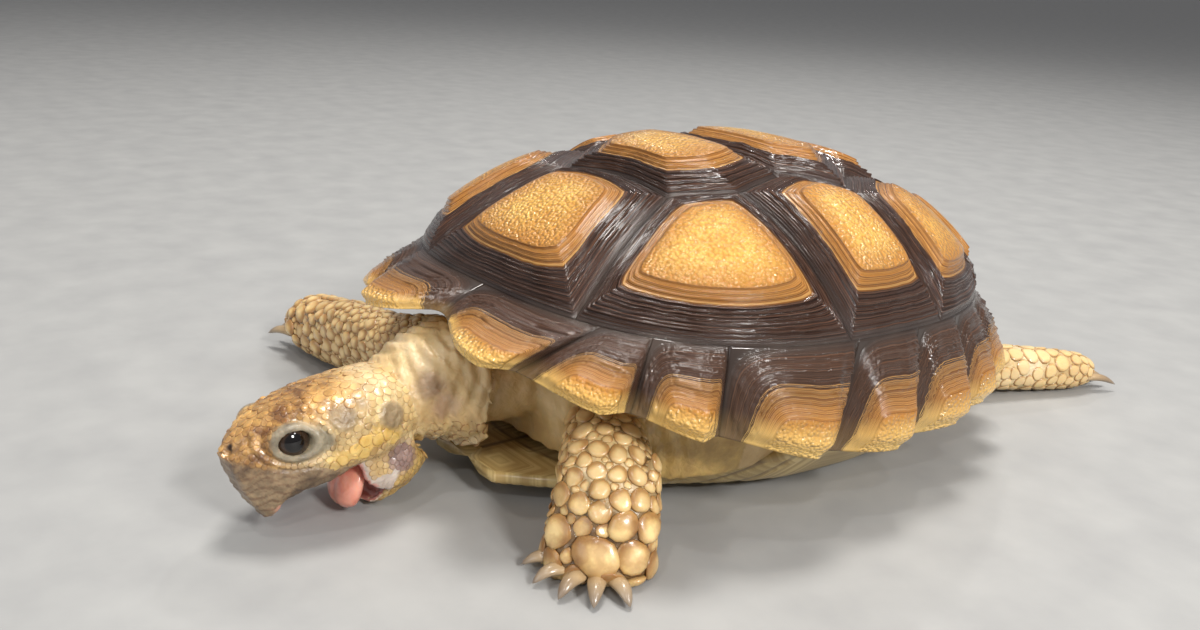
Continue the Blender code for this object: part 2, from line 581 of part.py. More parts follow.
def build_limbs(mat, clearance, beside_neck):
    near = limb('foreleg_left', [
        ((10.0, -28.0, 13.5), 7.2, 6.6, (0.66, 0.75, 0)), ((18.5, -35.2, 13.3), 7.4, 6.9, (0.66, 0.75, 0)),
        ((25.0, -40.3, 11.4), 7.9, 6.9, (0.66, 0.75, 0)), ((28.2, -42.8, 8.4), 8.6, 6.5, (0.72, 0.69, 0)),
        ((29.3, -44.2, 4.5), 9.0, 6.7, (0.75, 0.66, 0)), ((29.8, -45.0, 1.4), 9.2, 7.0, (0.75, 0.66, 0)),
        ((30.0, -45.2, 0.0), 8.2, 6.2, (0.75, 0.66, 0))], mat, 16)
    nails = []
    for k in range(5):
        a = math.radians(-122 + 26 * k)
        root = Vector((29.8 + 6.2 * math.cos(a), -45.0 + 5.6 * math.sin(a), 1.6))
        nails.append((root, root + Vector((4.4 * math.cos(a), 4.4 * math.sin(a), -0.9)), 1.25))
    foot_claws(near, 'fore_left', nails, mat)
    cut(near, clearance)
    cut(near, beside_neck)

    far = limb('foreleg_right', [
        ((-12.0, -30.0, 13.0), 7.0, 6.8, (0, -0.3, 1)), ((-21.0, -36.5, 12.6), 7.0, 6.8, (0, -0.4, 1)),
        ((-32.0, -39.4, 10.6), 6.6, 6.0, (0, -0.3, 1)), ((-43.0, -40.4, 8.7), 7.4, 6.2, (0, -0.1, 1)),
        ((-54.3, -40.2, 6.5), 7.2, 6.8, (0, -0.1, 1)), ((-62.6, -40.2, 5.7), 6.5, 6.9, (0, 0, 1)),
        ((-67.1, -40.2, 5.0), 4.6, 5.4, (0, 0, 1))], mat, 16)
    nails = []
    for k in range(5):
        a = math.radians(-59 + 30.5 * k)
        root = Vector((-63.9 - 2.2 * math.cos(a), -40.3 + 5.2 * math.sin(a), 4.0))
        nails.append((root, root + Vector((-6.4 * math.cos(a * 0.6), 4.4 * math.sin(a * 0.6), -1.3)), 1.2))
    foot_claws(far, 'fore_right', nails, mat)
    cut(far, clearance)
    cut(far, beside_neck)

    back = limb('hindleg_left', [
        ((9.0, 30.0, 9.0), 7.0, 6.4, (1, 0, 0)), ((15.0, 41.0, 7.4), 6.6, 5.6, (1, -0.3, 0)),
        ((20.5, 50.5, 5.7), 5.6, 4.9, (1, -0.4, 0)), ((26.0, 61.0, 4.9), 4.9, 4.7, (1, -0.4, 0)),
        ((30.0, 69.0, 4.2), 4.6, 4.4, (1, -0.4, 0)), ((32.3, 74.6, 3.7), 4.4, 3.9, (1, -0.4, 0)),
        ((33.4, 78.0, 3.3), 3.4, 2.9, (1, -0.4, 0))], mat, 14)
    nails = []
    for k in range(4):
        across = -2.9 + 1.95 * k
        root = Vector((32.7 + across * 0.93, 76.5 - across * 0.36, 2.9))
        nails.append((root, root + Vector((2.2 + across * 0.45, 5.6 - across * 0.1, -1.5)), 1.1))
    foot_claws(back, 'hind_left', nails, mat)
    cut(back, clearance)

    under = limb('hindleg_right', [
        ((-8.0, 24.0, 11.0), 6.0, 6.0, (0, 0.3, 1)), ((-18.5, 33.5, 10.6), 6.8, 6.4, (0, 0.3, 1)),
        ((-25.5, 37.0, 8.6), 6.6, 6.2, (-0.5, 0.3, 0.8)), ((-28.5, 38.4, 5.6), 6.2, 5.8, (-0.9, 0.4, 0.2)),
        ((-29.6, 38.8, 2.4), 6.2, 5.8, (-0.9, 0.4, 0)), ((-29.8, 38.8, 0.0), 5.4, 5.2, (-0.9, 0.4, 0))], mat, 14)
    nails = []
    for k in range(4):
        a = math.radians(-150 + 24 * k)
        root = Vector((-29.6 + 4.8 * math.cos(a), 38.8 + 4.8 * math.sin(a), 1.5))
        nails.append((root, root + Vector((3.8 * math.cos(a), 3.8 * math.sin(a), -0.8)), 1.15))
    foot_claws(under, 'hind_right', nails, mat)
    cut(under, clearance)

    tail = limb('tail', [((0, 34.0, 11.5), 5.0, 4.6, (1, 0, 0)), ((0, 43.0, 10.0), 4.2, 3.9, (1, 0, 0)),
                         ((0.5, 50.0, 7.6), 2.9, 2.8, (1, 0, 0)), ((1.2, 55.5, 5.2), 1.5, 1.5, (1, 0, 0))],
                mat, 10)
    cut(tail, clearance)


# --------------------------------------------------------------------------- main
def main():
    for ob in list(bpy.data.objects):
        bpy.data.objects.remove(ob, do_unlink=True)
    build_vertebrals(HORN_TAN)
    build_costals(HORN_TAN)
    build_marginals(HORN_DARK)
    over_plastron = build_plastron(HORN_PALE)
    clearance = build_trunk(SKIN, over_plastron)
    build_head(SKIN, EYE, TONGUE)
    beside_neck = build_neck(SKIN, clearance)
    cut(bpy.data.objects['lower_jaw'], beside_neck)
    build_limbs(SKIN, clearance, beside_neck)
    for ob in bpy.data.objects:
        if ob.type == 'MESH':
            outward_faces(ob)
    bpy.context.view_layer.update()
    graph = bpy.context.evaluated_depsgraph_get()
    xs, ys = [], []
    for ob in MADE:
        for corner in ob.evaluated_get(graph).bound_box:
            xs.append(corner[0])
            ys.append(corner[1])
    shift = Vector((-(min(xs) + max(xs)) / 2, -(min(ys) + max(ys)) / 2, 0))
    for ob in bpy.data.objects:
        if ob.type == 'MESH':
            ob.data.transform(Matrix.Translation(shift))
    print('shift', tuple(round(v, 5) for v in shift))


main()
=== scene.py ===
# %% [markdown]
# # A young spurred tortoise, life size
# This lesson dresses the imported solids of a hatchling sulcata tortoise, which is feeding with
# its mouth open.  The shell is built scute by scute as real growth rings, one skin covers all
# the flesh, and scales of solid mesh lie over that skin.  Everything is measured from the
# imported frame, in metres.  The animal faces -Y, its left side is +X and it stands on z = 0.

# %% Load the frame
import json
import math

import bmesh
import bpy
import numpy as np
from mathutils import Matrix, Vector
from mathutils.bvhtree import BVHTree

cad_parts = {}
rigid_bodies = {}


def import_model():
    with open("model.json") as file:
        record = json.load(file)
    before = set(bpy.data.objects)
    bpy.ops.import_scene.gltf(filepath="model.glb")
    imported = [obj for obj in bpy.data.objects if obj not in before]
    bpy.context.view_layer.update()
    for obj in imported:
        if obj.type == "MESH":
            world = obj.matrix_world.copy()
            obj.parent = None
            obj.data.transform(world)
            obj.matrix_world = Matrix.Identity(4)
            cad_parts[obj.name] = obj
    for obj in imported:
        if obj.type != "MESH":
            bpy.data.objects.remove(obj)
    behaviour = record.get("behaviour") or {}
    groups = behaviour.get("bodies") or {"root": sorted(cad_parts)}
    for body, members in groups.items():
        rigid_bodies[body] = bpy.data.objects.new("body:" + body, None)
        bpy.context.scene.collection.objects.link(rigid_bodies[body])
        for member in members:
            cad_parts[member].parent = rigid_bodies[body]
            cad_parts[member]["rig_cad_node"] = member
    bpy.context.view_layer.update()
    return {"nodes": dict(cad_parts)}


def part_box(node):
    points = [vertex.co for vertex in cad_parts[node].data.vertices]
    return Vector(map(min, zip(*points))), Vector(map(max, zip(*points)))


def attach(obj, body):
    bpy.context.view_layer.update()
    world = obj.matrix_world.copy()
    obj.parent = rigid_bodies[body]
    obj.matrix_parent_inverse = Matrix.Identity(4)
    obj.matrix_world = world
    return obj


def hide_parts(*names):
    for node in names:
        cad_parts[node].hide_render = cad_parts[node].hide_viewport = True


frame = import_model()
MM = 0.001
TAU = math.tau
print("nodes", len(frame["nodes"]))

# %% [markdown]
# ## The animal's own frame
# Lengths below are millimetres in the animal's own frame, where the shell's middle line is
# x = 0.  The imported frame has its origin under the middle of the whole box, so one shift
# carries every point over.  It is measured on the lower shell, which is symmetrical.

# %% The animal's own frame
PLASTRON_MIDDLE = -0.83             # the lower shell's middle lies a little ahead of the shell's
SHELL_PITCH = math.radians(2.5)
SIDE_RIM_HEIGHT = 11.0

low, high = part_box("plastron")
SHIFT = np.array(((low.x + high.x) / 2, (low.y + high.y) / 2 - PLASTRON_MIDDLE * MM, 0.0))
print("shift", SHIFT.round(5))


def to_frame(points):
    """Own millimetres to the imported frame's metres."""
    return np.asarray(points, float) * MM + SHIFT


def own(x, y, z):
    return np.array((x, y, z), float)


def show(made):
    bpy.context.scene.collection.objects.link(made)


def unit(v):
    v = np.asarray(v, float)
    return v / np.maximum(np.linalg.norm(v, axis=-1, keepdims=True), 1e-9)


def smooth(edge0, edge1, x):
    """0 before edge0, 1 after edge1, and an S-shaped ramp between them."""
    t = np.clip((np.asarray(x, float) - edge0) / (edge1 - edge0), 0, 1)
    return t * t * (3 - 2 * t)

# %% [markdown]
# ## Camera
# The animal is seen from close by, from its front left and a little above.  A camera can be
# aimed with a Track To constraint or with angles.  Here its axes come from a line of sight and
# a small roll.  The lens is a mild wide angle, and a small vertical shift sets the framing.

# %% Camera
CAMERA_PLACE = own(116.7, -121.1, 74.0)
LOOK = (-0.6849, 0.5924, -0.4241)
CAMERA_ROLL = math.radians(3.2)
LENS, SENSOR, CAMERA_SHIFT = 30.67, 36.0, 0.0973

look = Vector(LOOK).normalized()
level = look.cross(Vector((0, 0, 1))).normalized()
raised = level.cross(look)
right = level * math.cos(CAMERA_ROLL) + raised * math.sin(CAMERA_ROLL)
above = right.cross(look)
camera_data = bpy.data.cameras.new("camera")
camera_data.lens, camera_data.sensor_width, camera_data.shift_y = LENS, SENSOR, CAMERA_SHIFT
camera_data.clip_start = 0.005
camera = bpy.data.objects.new("camera", camera_data)
turn = Matrix((right, above, -look)).transposed().to_4x4()
camera.matrix_world = Matrix.Translation(to_frame(CAMERA_PLACE)) @ turn
show(camera)
bpy.context.scene.camera = camera

# %% [markdown]
# ## Small tools for meshes
# Most pieces are stacks of rings, so one helper turns points and faces into a shaded object.
# Values that vary over a piece, such as the age of the horn, are stored as named attributes on
# its points, and the materials read them by name.

# %% Mesh helpers
def store_marks(mesh, marks):
    """Numbers per point, kept on the mesh under their own names."""
    for key, values in marks.items():
        layer = mesh.attributes.new(key, "FLOAT", "POINT")
        layer.data.foreach_set("value", np.asarray(values, np.float32))


def make_object(name, points, faces, material, marks=None):
    """An object from own-frame points, faces and per-point marks."""
    mesh = bpy.data.meshes.new(name)
    mesh.from_pydata(to_frame(points).tolist(), [], faces)
    store_marks(mesh, marks or {})
    mesh.materials.append(material)
    mesh.shade_smooth()
    made = bpy.data.objects.new(name, mesh)
    show(made)
    return made


def stack_faces(rows, count, first=0):
    """Quads between rings of equal count, ring after ring."""
    faces = []
    for k in range(rows - 1):
        low, high = first + k * count, first + (k + 1) * count
        for i in range(count):
            j = (i + 1) % count
            faces.append((low + i, low + j, high + j, high + i))
    return faces


def closed_stack(rows, count, first=0):
    """Stacked rings closed by fans to the two points after them, at the first and the last ring."""
    start, last = first + rows * count, first + (rows - 1) * count
    faces = stack_faces(rows, count, first)
    faces += [(start, first + (i + 1) % count, first + i) for i in range(count)]
    return faces + [(start + 1, last + i, last + (i + 1) % count) for i in range(count)]


# %% [markdown]
# ## Small tools for materials
# A node tree can be drawn by hand, node by node.  Written as code it is mostly the same few
# kinds of node, so each kind gets a short helper that returns its output socket.

# %% Node helpers
def give(socket, value):
    """Link another node's output to a socket, or set a number or a colour on it."""
    if isinstance(value, bpy.types.NodeSocket):
        socket.id_data.links.new(value, socket)
    else:
        socket.default_value = (*value, 1) if isinstance(value, tuple) else value


def add_node(tree, kind, inputs=None, **settings):
    """A node with its settings, and with values or links for its named or numbered inputs."""
    made = tree.nodes.new(kind)
    for key, value in settings.items():
        setattr(made, key, value)
    for key, value in (inputs or {}).items():
        give(made.inputs[key], value)
    return made


def ramp(tree, value, stops):
    """A colour ramp from (position, colour) stops."""
    made = add_node(tree, "ShaderNodeValToRGB", {0: value})
    bar = made.color_ramp
    while len(bar.elements) < len(stops):
        bar.elements.new(0.5)
    for element, (place, colour) in zip(bar.elements, stops):
        element.position = place
        element.color = (*colour, 1)
    return made.outputs[0]


def greys(tree, value, *stops):
    """A ramp of greys from (position, level) stops."""
    return ramp(tree, value, [(place, (level,) * 3) for place, level in stops])


def fade_in(tree, value, start, end):
    """A mask: 0 before start and 1 after end."""
    return greys(tree, value, (start, 0.0), (end, 1.0))


def fade_out(tree, value, start, end):
    return greys(tree, value, (start, 1.0), (end, 0.0))


def mix(tree, share, a, b, kind="MIX"):
    """Colour a, with the share of colour b over it."""
    inputs = {0: share, 6: a, 7: b}
    return add_node(tree, "ShaderNodeMix", inputs, data_type="RGBA", blend_type=kind).outputs[2]


def maths(tree, operation, *values, clamp=False):
    return add_node(tree, "ShaderNodeMath", dict(enumerate(values)), operation=operation,
                    use_clamp=clamp).outputs[0]


def times(tree, a, b):
    return maths(tree, "MULTIPLY", a, b)


def mark(tree, name):
    """The value of a named attribute."""
    return add_node(tree, "ShaderNodeAttribute", attribute_name=name).outputs["Fac"]


def own_place(tree):
    return add_node(tree, "ShaderNodeTexCoord").outputs["Object"]


def clouds(tree, scale, detail, **more):
    """Noise that is fixed to the piece."""
    inputs = {"Vector": own_place(tree), "Scale": scale, "Detail": detail, **more}
    return add_node(tree, "ShaderNodeTexNoise", inputs).outputs[0]


def bands_of(tree, value, detail, **more):
    """Noise that changes only with a value, so it makes bands that follow that value."""
    inputs = {"W": value, "Detail": detail, "Scale": 1.0, **more}
    return add_node(tree, "ShaderNodeTexNoise", inputs, noise_dimensions="1D").outputs[0]


def grains(tree, scale):
    """Distance to the middle of the nearest grain, with soft joints between grains."""
    inputs = {"Vector": own_place(tree), "Scale": scale}
    return add_node(tree, "ShaderNodeTexVoronoi", inputs, feature="SMOOTH_F1")


# %% [markdown]
# ### Groups and materials
# An effect that several materials share is a node group with named sockets.  The shader itself
# stays in each material, and a value that is the same all over is set on its own socket.

# %% Group and material helpers
def new_group(name, inputs, outputs):
    """An empty shader node group, what it is given, and its output node."""
    group = bpy.data.node_groups.new(name, "ShaderNodeTree")
    for label, kind, value in inputs:
        socket = group.interface.new_socket(label, in_out="INPUT", socket_type="NodeSocket" + kind)
        socket.default_value = value
    for label, kind in outputs:
        group.interface.new_socket(label, in_out="OUTPUT", socket_type="NodeSocket" + kind)
    return group, group.nodes.new("NodeGroupInput").outputs, group.nodes.new("NodeGroupOutput")


def feed(node, **values):
    """Give a value to each named socket of a node."""
    for key, value in values.items():
        give(node.inputs[key.replace("_", " ")], value)


def use_group(tree, group, **inputs):
    made = add_node(tree, "ShaderNodeGroup", node_tree=group)
    feed(made, **inputs)
    return made.outputs


def new_material(name, **shader_values):
    """A node material, its tree and its Principled shader with constant values set."""
    made = bpy.data.materials.new(name)
    made.use_nodes = True
    shader = made.node_tree.nodes["Principled BSDF"]
    feed(shader, **shader_values)
    return made, made.node_tree, shader


def bump(tree, height, strength, distance, **more):
    inputs = {"Height": height, "Strength": strength, "Distance": distance, **more}
    return add_node(tree, "ShaderNodeBump", inputs).outputs[0]


def shade_normal(shader, normal):
    """One bumped normal for the surface and for the wet film over it."""
    feed(shader, Normal=normal, Coat_Normal=normal)


# %% [markdown]
# ## Floor and light
# The floor is plain and pale, so that nothing draws the eye from the animal.  One overhead
# lamp, a window lamp and a wide fill shade the form softly.  A wide lamp leaves only a haze on
# wet horn, so four small ceiling lamps are added, each of which makes a short bright glint.

# %% Floor and lamps
FLOOR_REACH = 12.0
WORLD_LIGHT = 0.26

floor_look, tree, shader = new_material("pale_floor", Roughness=0.6)
grain = clouds(tree, 90.0, 4.0)
feed(shader, Base_Color=ramp(tree, grain, ((0.3, (0.33, 0.33, 0.325)), (0.7, (0.38, 0.38, 0.37)))))
mesh = bpy.data.meshes.new("floor")
corners = [(x * FLOOR_REACH, y * FLOOR_REACH, 0) for x, y in ((-1, -1), (1, -1), (1, 1), (-1, 1))]
mesh.from_pydata(corners, [], [(0, 1, 2, 3)])
mesh.materials.append(floor_look)
floor = bpy.data.objects.new("floor", mesh)
show(floor)


def lamp(name, place, target_height, size, power, colour):
    """A square soft lamp that looks at a place above the origin."""
    data = bpy.data.lights.new(name, "AREA")
    data.size, data.energy, data.color = size, power, colour
    made = bpy.data.objects.new(name, data)
    made.location = place
    sight_line = Vector((0, 0, target_height)) - Vector(place)
    made.rotation_euler = sight_line.to_track_quat("-Z", "Y").to_euler()
    show(made)


lamp("overhead", (-0.10, 0.10, 0.75), 0.02, 0.20, 4.3, (1.0, 0.97, 0.93))
lamp("window", (0.62, -0.05, 0.42), 0.02, 0.12, 4.0, (1.0, 0.98, 0.95))
lamp("front_fill", (0.05, -0.75, 0.35), 0.02, 0.45, 1.3, (0.97, 0.98, 1.0))
CEILING = ((0.42, -0.42, 0.62), (0.55, 0.18, 0.60), (0.10, -0.30, 0.80), (-0.35, 0.45, 0.55))
for n, spot in enumerate(CEILING):
    lamp(f"ceiling_{n + 1}", spot, 0.03, 0.04, 0.75, (1.0, 0.98, 0.96))
world = bpy.data.worlds.new("soft_room")
world.use_nodes = True
feed(world.node_tree.nodes["Background"], Color=(0.97, 0.97, 1.0), Strength=WORLD_LIGHT)
bpy.context.scene.world = world
bpy.context.scene.view_settings.view_transform = "Standard"
print("camera, floor and", len(bpy.data.lights), "lamps")

# %% [markdown]
# ## Horn of the upper shell
# Each scute keeps the plate it was born with, the areola: a golden, finely pebbled patch.
# Round it the animal lays down horn in rings, first a few smooth tan ledges, then many fine
# dark ridges, down to a grey-brown seam.  Every point stores its "growth", from 0 at the
# areola's middle to 1 at the seam, so one material can colour all scutes.

# %% Pebbles
def pebble_group():
    """Fine raised grains, as on an areola: a height and a mask of the cracks between grains."""
    group, given, out = new_group("pebbles", (("Size", "Float", 0.5),),
                                  (("Height", "Float"), ("Crack", "Float")))
    cells = grains(group, maths(group, "DIVIDE", 1000.0, given["Size"]))
    cells.inputs["Smoothness"].default_value = 0.35
    dome = maths(group, "SUBTRACT", 1.0, cells.outputs["Distance"])
    height = maths(group, "ADD", dome, times(group, clouds(group, 900.0, 2.0), 0.5))
    feed(out, Height=height, Crack=fade_in(group, cells.outputs["Distance"], 0.35, 0.75))
    return group


# %% [markdown]
# ### Colour by age
# The colour could be painted by hand.  It follows the growth number instead, and noise along
# that number draws thin uneven bands that keep to the rings.  "Tan" keeps the horn pale
# further out, and "Rim" lays yellow over a marginal's free edge.

# %% Growth colour
def growth_group():
    """Colour and roughness of horn by its age, with thin uneven bands that follow the rings."""
    inputs = (("Growth", 0.5), ("Ridge", 0.5), ("Crack", 0.0), ("Tan", 0.0), ("Rim", 0.0))
    group, given, out = new_group("growth_colour", [(label, "Float", value) for label, value in inputs],
                                  (("Colour", "Color"), ("Roughness", "Float")))
    patch = clouds(group, 70.0, 3.0)
    wander = maths(group, "MULTIPLY_ADD", patch, 0.02, given["Growth"])
    age = maths(group, "SUBTRACT", wander, 0.01)
    bands = bands_of(group, times(group, age, 105.0), 3.0, Roughness=0.7)

    gold = ramp(group, patch, ((0.3, (0.52, 0.225, 0.035)), (0.52, (0.76, 0.43, 0.09)),
                               (0.72, (0.90, 0.61, 0.19))))
    browned = fade_in(group, maths(group, "MULTIPLY_ADD", patch, 0.35, age), 0.44, 0.68)
    areola = mix(group, times(group, browned, 0.72), gold, (0.36, 0.135, 0.020))
    cracked = mix(group, times(group, given["Crack"], 0.65), areola, (0.46, 0.18, 0.026))

    ledge = ramp(group, bands, ((0.30, (0.085, 0.028, 0.007)), (0.43, (0.25, 0.094, 0.018)),
                                (0.56, (0.42, 0.185, 0.040)), (0.68, (0.62, 0.34, 0.095))))
    ledge = mix(group, greys(group, age, (0.60, 0.0), (0.70, 0.55)), ledge, (0.11, 0.040, 0.010))

    dark = ramp(group, bands, ((0.32, (0.008, 0.0034, 0.0022)), (0.5, (0.024, 0.0098, 0.0062)),
                               (0.66, (0.115, 0.050, 0.026))))
    marginal_dark = mix(group, bands, (0.014, 0.006, 0.004), (0.20, 0.095, 0.045))
    dark = mix(group, given["Tan"], dark, marginal_dark)
    # Ridge crests are painted lighter than the furrows: a painted highlight on the crests and painted shade
    # in the furrows.
    crest_highlight = mix(group, times(group, given["Ridge"], 0.4), dark, (0.085, 0.042, 0.026))
    seam = ramp(group, patch, ((0.35, (0.022, 0.013, 0.010)), (0.65, (0.060, 0.042, 0.033))))

    dark_start = maths(group, "MULTIPLY_ADD", given["Tan"], -0.22, age)
    stripe = times(group, maths(group, "SUBTRACT", bands, 0.5), given["Tan"])
    dark_start = maths(group, "MULTIPLY_ADD", stripe, -0.55, dark_start)
    to_dark = fade_in(group, dark_start, 0.668, 0.682)
    # A pale line along the outer edge of the last ledge: partly the horn's golden rim and partly a painted
    # highlight on that edge.
    edge = greys(group, dark_start, (0.645, 0.0), (0.658, 1.0), (0.668, 0.0))

    colour = mix(group, fade_in(group, age, 0.50, 0.535), cracked, ledge)
    colour = mix(group, times(group, edge, 0.40), colour, (0.74, 0.44, 0.15))
    colour = mix(group, to_dark, colour, mix(group, fade_in(group, age, 0.93, 1.0), crest_highlight, seam))
    yellow = mix(group, patch, (0.80, 0.45, 0.10), (0.94, 0.69, 0.25))
    pale_share = times(group, given["Rim"], maths(group, "MULTIPLY_ADD", to_dark, -0.80, 0.92))
    rough = greys(group, age, (0.45, 0.42), (0.56, 0.27), (0.75, 0.20), (1.0, 0.42))
    feed(out, Colour=mix(group, pale_share, colour, yellow), Roughness=rough)
    return group


# %% [markdown]
# ### Wet horn
# A wet shell shows sharp glints over a soft sheen.  A low roughness alone would make a mirror
# of it, so a clear coat lies over horn that stays rougher.  Pebbles raise the areola, and fine
# lines run along the rings outside it.

# %% Horn materials
PEBBLES, GROWTH = pebble_group(), growth_group()


def horn_material(name, tan):
    """Wet shell horn.  A higher tan keeps the ledges pale further out."""
    made, tree, shader = new_material(name, Coat_Weight=1.0, Coat_Roughness=0.07, Coat_IOR=1.45,
                                      Specular_IOR_Level=0.12)
    growth = mark(tree, "growth")
    pebbles = use_group(tree, PEBBLES, Size=0.52)
    rim = fade_in(tree, mark(tree, "rim"), 0.30, 1.0)
    horn = use_group(tree, GROWTH, Growth=growth, Ridge=mark(tree, "ridge"),
                     Crack=pebbles["Crack"], Tan=tan, Rim=rim)
    feed(shader, Base_Color=horn["Colour"], Roughness=horn["Roughness"])
    on_areola = fade_out(tree, growth, 0.50, 0.54)
    streak = bands_of(tree, times(tree, growth, 260.0), 2.0)
    height = times(tree, pebbles["Height"], on_areola)
    lines = times(tree, streak, maths(tree, "SUBTRACT", 1.0, on_areola))
    grainy = bump(tree, height, 1.0, 0.00042)
    shade_normal(shader, bump(tree, lines, 0.5, 0.00016, Normal=grainy))
    print(name, len(tree.nodes), "nodes")
    return made


CARAPACE_HORN = horn_material("carapace_horn", 0.0)
MARGINAL_HORN = horn_material("marginal_horn", 0.30)

# %% [markdown]
# ### The dome
# The dome is a formula.  Points of the shell are first laid out in a flat plan, where the
# middle of the back is (0, 0) and the ring on which costals meet marginals is the unit circle,
# and the plan is then lifted onto the dome.  The same formulas and sizes made the solids, so
# the finished scutes sit exactly where the frame has them.

# %% Shell sizes and the dome
SHELL_LENGTH = 110.0
RIM_HALF_WIDTH = 42.0
RIM_POWER = 2.45
RIM_RISE_FRONT, RIM_RISE_REAR = 13.2, 4.0
SEAM_HALF_WIDTH, SEAM_HALF_LENGTH = 41.0, 44.8
SEAM_POWER_FRONT, SEAM_POWER_REAR = 2.75, 2.4
SEAM_HEIGHT, SEAM_RISE_FRONT, SEAM_RISE_REAR = 17.2, 0.9, 1.0
DOME_HEIGHT, DOME_POWER, DOME_POWER_TURN = 35.3, 2.65, -0.35
CORE = own(0, 0, 6)
PLATE_THICKNESS = 1.6


def ring(angle, half_width, half_length, power_front, power_rear):
    c, s = np.cos(angle), np.sin(angle)
    p = np.where(c > 0, power_front, power_rear)
    r = ((np.abs(s) / half_width) ** p + (np.abs(c) / half_length) ** p) ** (-1 / p)
    return r * s, r * c


def rise(angle, front, rear):
    c = np.cos(angle)
    return front * np.maximum(c, 0) ** 2 + rear * np.maximum(-c, 0) ** 2


def rim_point(angle, out):
    """The shell's free edge, with a shallow notch over the neck."""
    side, angle = np.where(np.asarray(angle) < 0, -1, 1), np.abs(angle)
    x, f = ring(angle, RIM_HALF_WIDTH + out, SHELL_LENGTH / 2 + out, RIM_POWER, RIM_POWER)
    notch = np.exp(-(np.degrees(angle) / 7) ** 2)
    z = rise(angle, RIM_RISE_FRONT, RIM_RISE_REAR) + 1.5 * notch
    return np.stack((x * side, -f + 2.6 * notch, z), -1)


def seam_point(angle):
    x, f = ring(angle, SEAM_HALF_WIDTH, SEAM_HALF_LENGTH, SEAM_POWER_FRONT, SEAM_POWER_REAR)
    return np.stack((x, -f, SEAM_HEIGHT + rise(angle, SEAM_RISE_FRONT, SEAM_RISE_REAR)), -1)


def dome_point(plan):
    r = np.hypot(plan[..., 0], plan[..., 1])
    a = np.arctan2(plan[..., 0], plan[..., 1])
    s = seam_point(a)
    k = r ** (DOME_POWER + DOME_POWER_TURN * np.cos(a))
    return np.stack((s[..., 0] * r, s[..., 1] * r, s[..., 2] * k + DOME_HEIGHT * (1 - k)), -1)


def outward(points):
    return unit(points - CORE)


def settle(points):
    """The level shell frame to the standing frame, front edge carried a little higher."""
    c, s = math.cos(-SHELL_PITCH), math.sin(-SHELL_PITCH)
    x, y, z = points[..., 0], points[..., 1], points[..., 2]
    return np.stack((x, y * c - z * s, y * s + z * c + SIDE_RIM_HEIGHT), -1)


top_of_back = settle(dome_point(np.array((0.0, 1e-6))))
print("top of the back, mm:", top_of_back.round(1))


# %% [markdown]
# ### Growth rings
# A displacement texture could raise the rings, but real steps have crisp edges.  So the relief
# is a list of forms: three broad ledges that drop away from the areola, then ten rounded ridges
# of uneven width.  A few slow waves make the rings wander, seeded for each scute.

# %% Relief of the rings
AREOLA_EDGE = 0.53
LEDGES = 3
LEDGES_END = 0.665
RIDGES = 10
VALLEY = 0.7                # how far the seams lie below the dome
SHARES = np.concatenate((np.linspace(0.07, 0.49, 8), np.arange(0.505, LEDGES_END, 0.0075),
                         np.arange(LEDGES_END, 0.975, 0.0068), (0.98, 0.988, 0.994, 1.0)))


def slow_waves(rng, turns, phase, count=5, top=9):
    """A smooth random wave round the scute, about -1 to 1, that shifts slowly with phase."""
    total = np.zeros(np.broadcast(turns, phase).shape)
    for _ in range(count):
        n = rng.integers(1, top)
        swing = n * turns * TAU + rng.uniform(0, TAU) + phase * rng.uniform(-9, 9)
        total += np.sin(swing) * rng.uniform(0.5, 1)
    return total / count * 1.3


def ring_relief(rng, k, turn, lift, ridges, ridge_height):
    """Heights, the age and the ridge mask, from the share k of the scute and the turn round it."""
    settled = smooth(0.3, 0.6, k) * (1 - smooth(0.93, 1.0, k))
    wander = 0.009 * slow_waves(rng, turn, k) + 0.004 * slow_waves(rng, turn, k * 3, 6, 30)
    age = np.clip(k + settled * wander, 0, 1)
    height = lift[0] + (lift[1] - lift[0]) * (age / AREOLA_EDGE) ** 2 * (age < AREOLA_EDGE)
    height = np.where(age < AREOLA_EDGE, height, 0.0)
    drop = (lift[1] - lift[2]) / LEDGES
    step = (LEDGES_END - AREOLA_EDGE) / LEDGES
    ledge = np.full_like(k, lift[1])
    for n in range(LEDGES):
        edge = AREOLA_EDGE + step * (n + rng.uniform(-0.12, 0.12))
        ledge = ledge - drop * smooth(edge - 0.003, edge + step * 0.42, age)
    slope = lift[2] * (1 - ((age - LEDGES_END) / (1 - LEDGES_END)).clip(0, 1)) ** 0.8
    slope -= 0.16 * smooth(LEDGES_END - 0.004, LEDGES_END + 0.006, age) * (1 - smooth(0.8, 1, age))
    height = np.where(age < AREOLA_EDGE, height, np.where(age < LEDGES_END, ledge, slope))
    widths = rng.uniform(0.6, 1.4, ridges)
    edges = LEDGES_END + (1 - LEDGES_END) * np.concatenate(((0,), np.cumsum(widths) / widths.sum()))
    ridge = np.zeros_like(k)
    for a, b in zip(edges, edges[1:]):
        x = ((age - a) / (b - a)).clip(0, 1)
        ridge += np.sin(np.pi * x ** 0.8) ** 1.3 * rng.uniform(0.5, 1.0)
    fine = 0.30 * np.sin(age * TAU * 70 + 2 * slow_waves(rng, turn, k)) * smooth(AREOLA_EDGE, 0.6, age)
    uneven = 0.7 + 0.45 * slow_waves(rng, turn, k * 2, 7, 16)
    fade = smooth(LEDGES_END, LEDGES_END + 0.02, age) * (1 - smooth(0.9, 1.0, k))
    height = height + ridge_height * (ridge * uneven * fade + 0.25 * fine * (1 - smooth(0.9, 1, k)))
    height -= VALLEY * smooth(0.70, 1.0, k)
    return height, age, np.clip(ridge * fade, 0, 1)


# %% [markdown]
# ### One closed plate
# The rings shrink from the scute's outline to its centre, and their corners round off on the
# way, as the young plate's did.  Short walls and a plain underside make the scute solid.

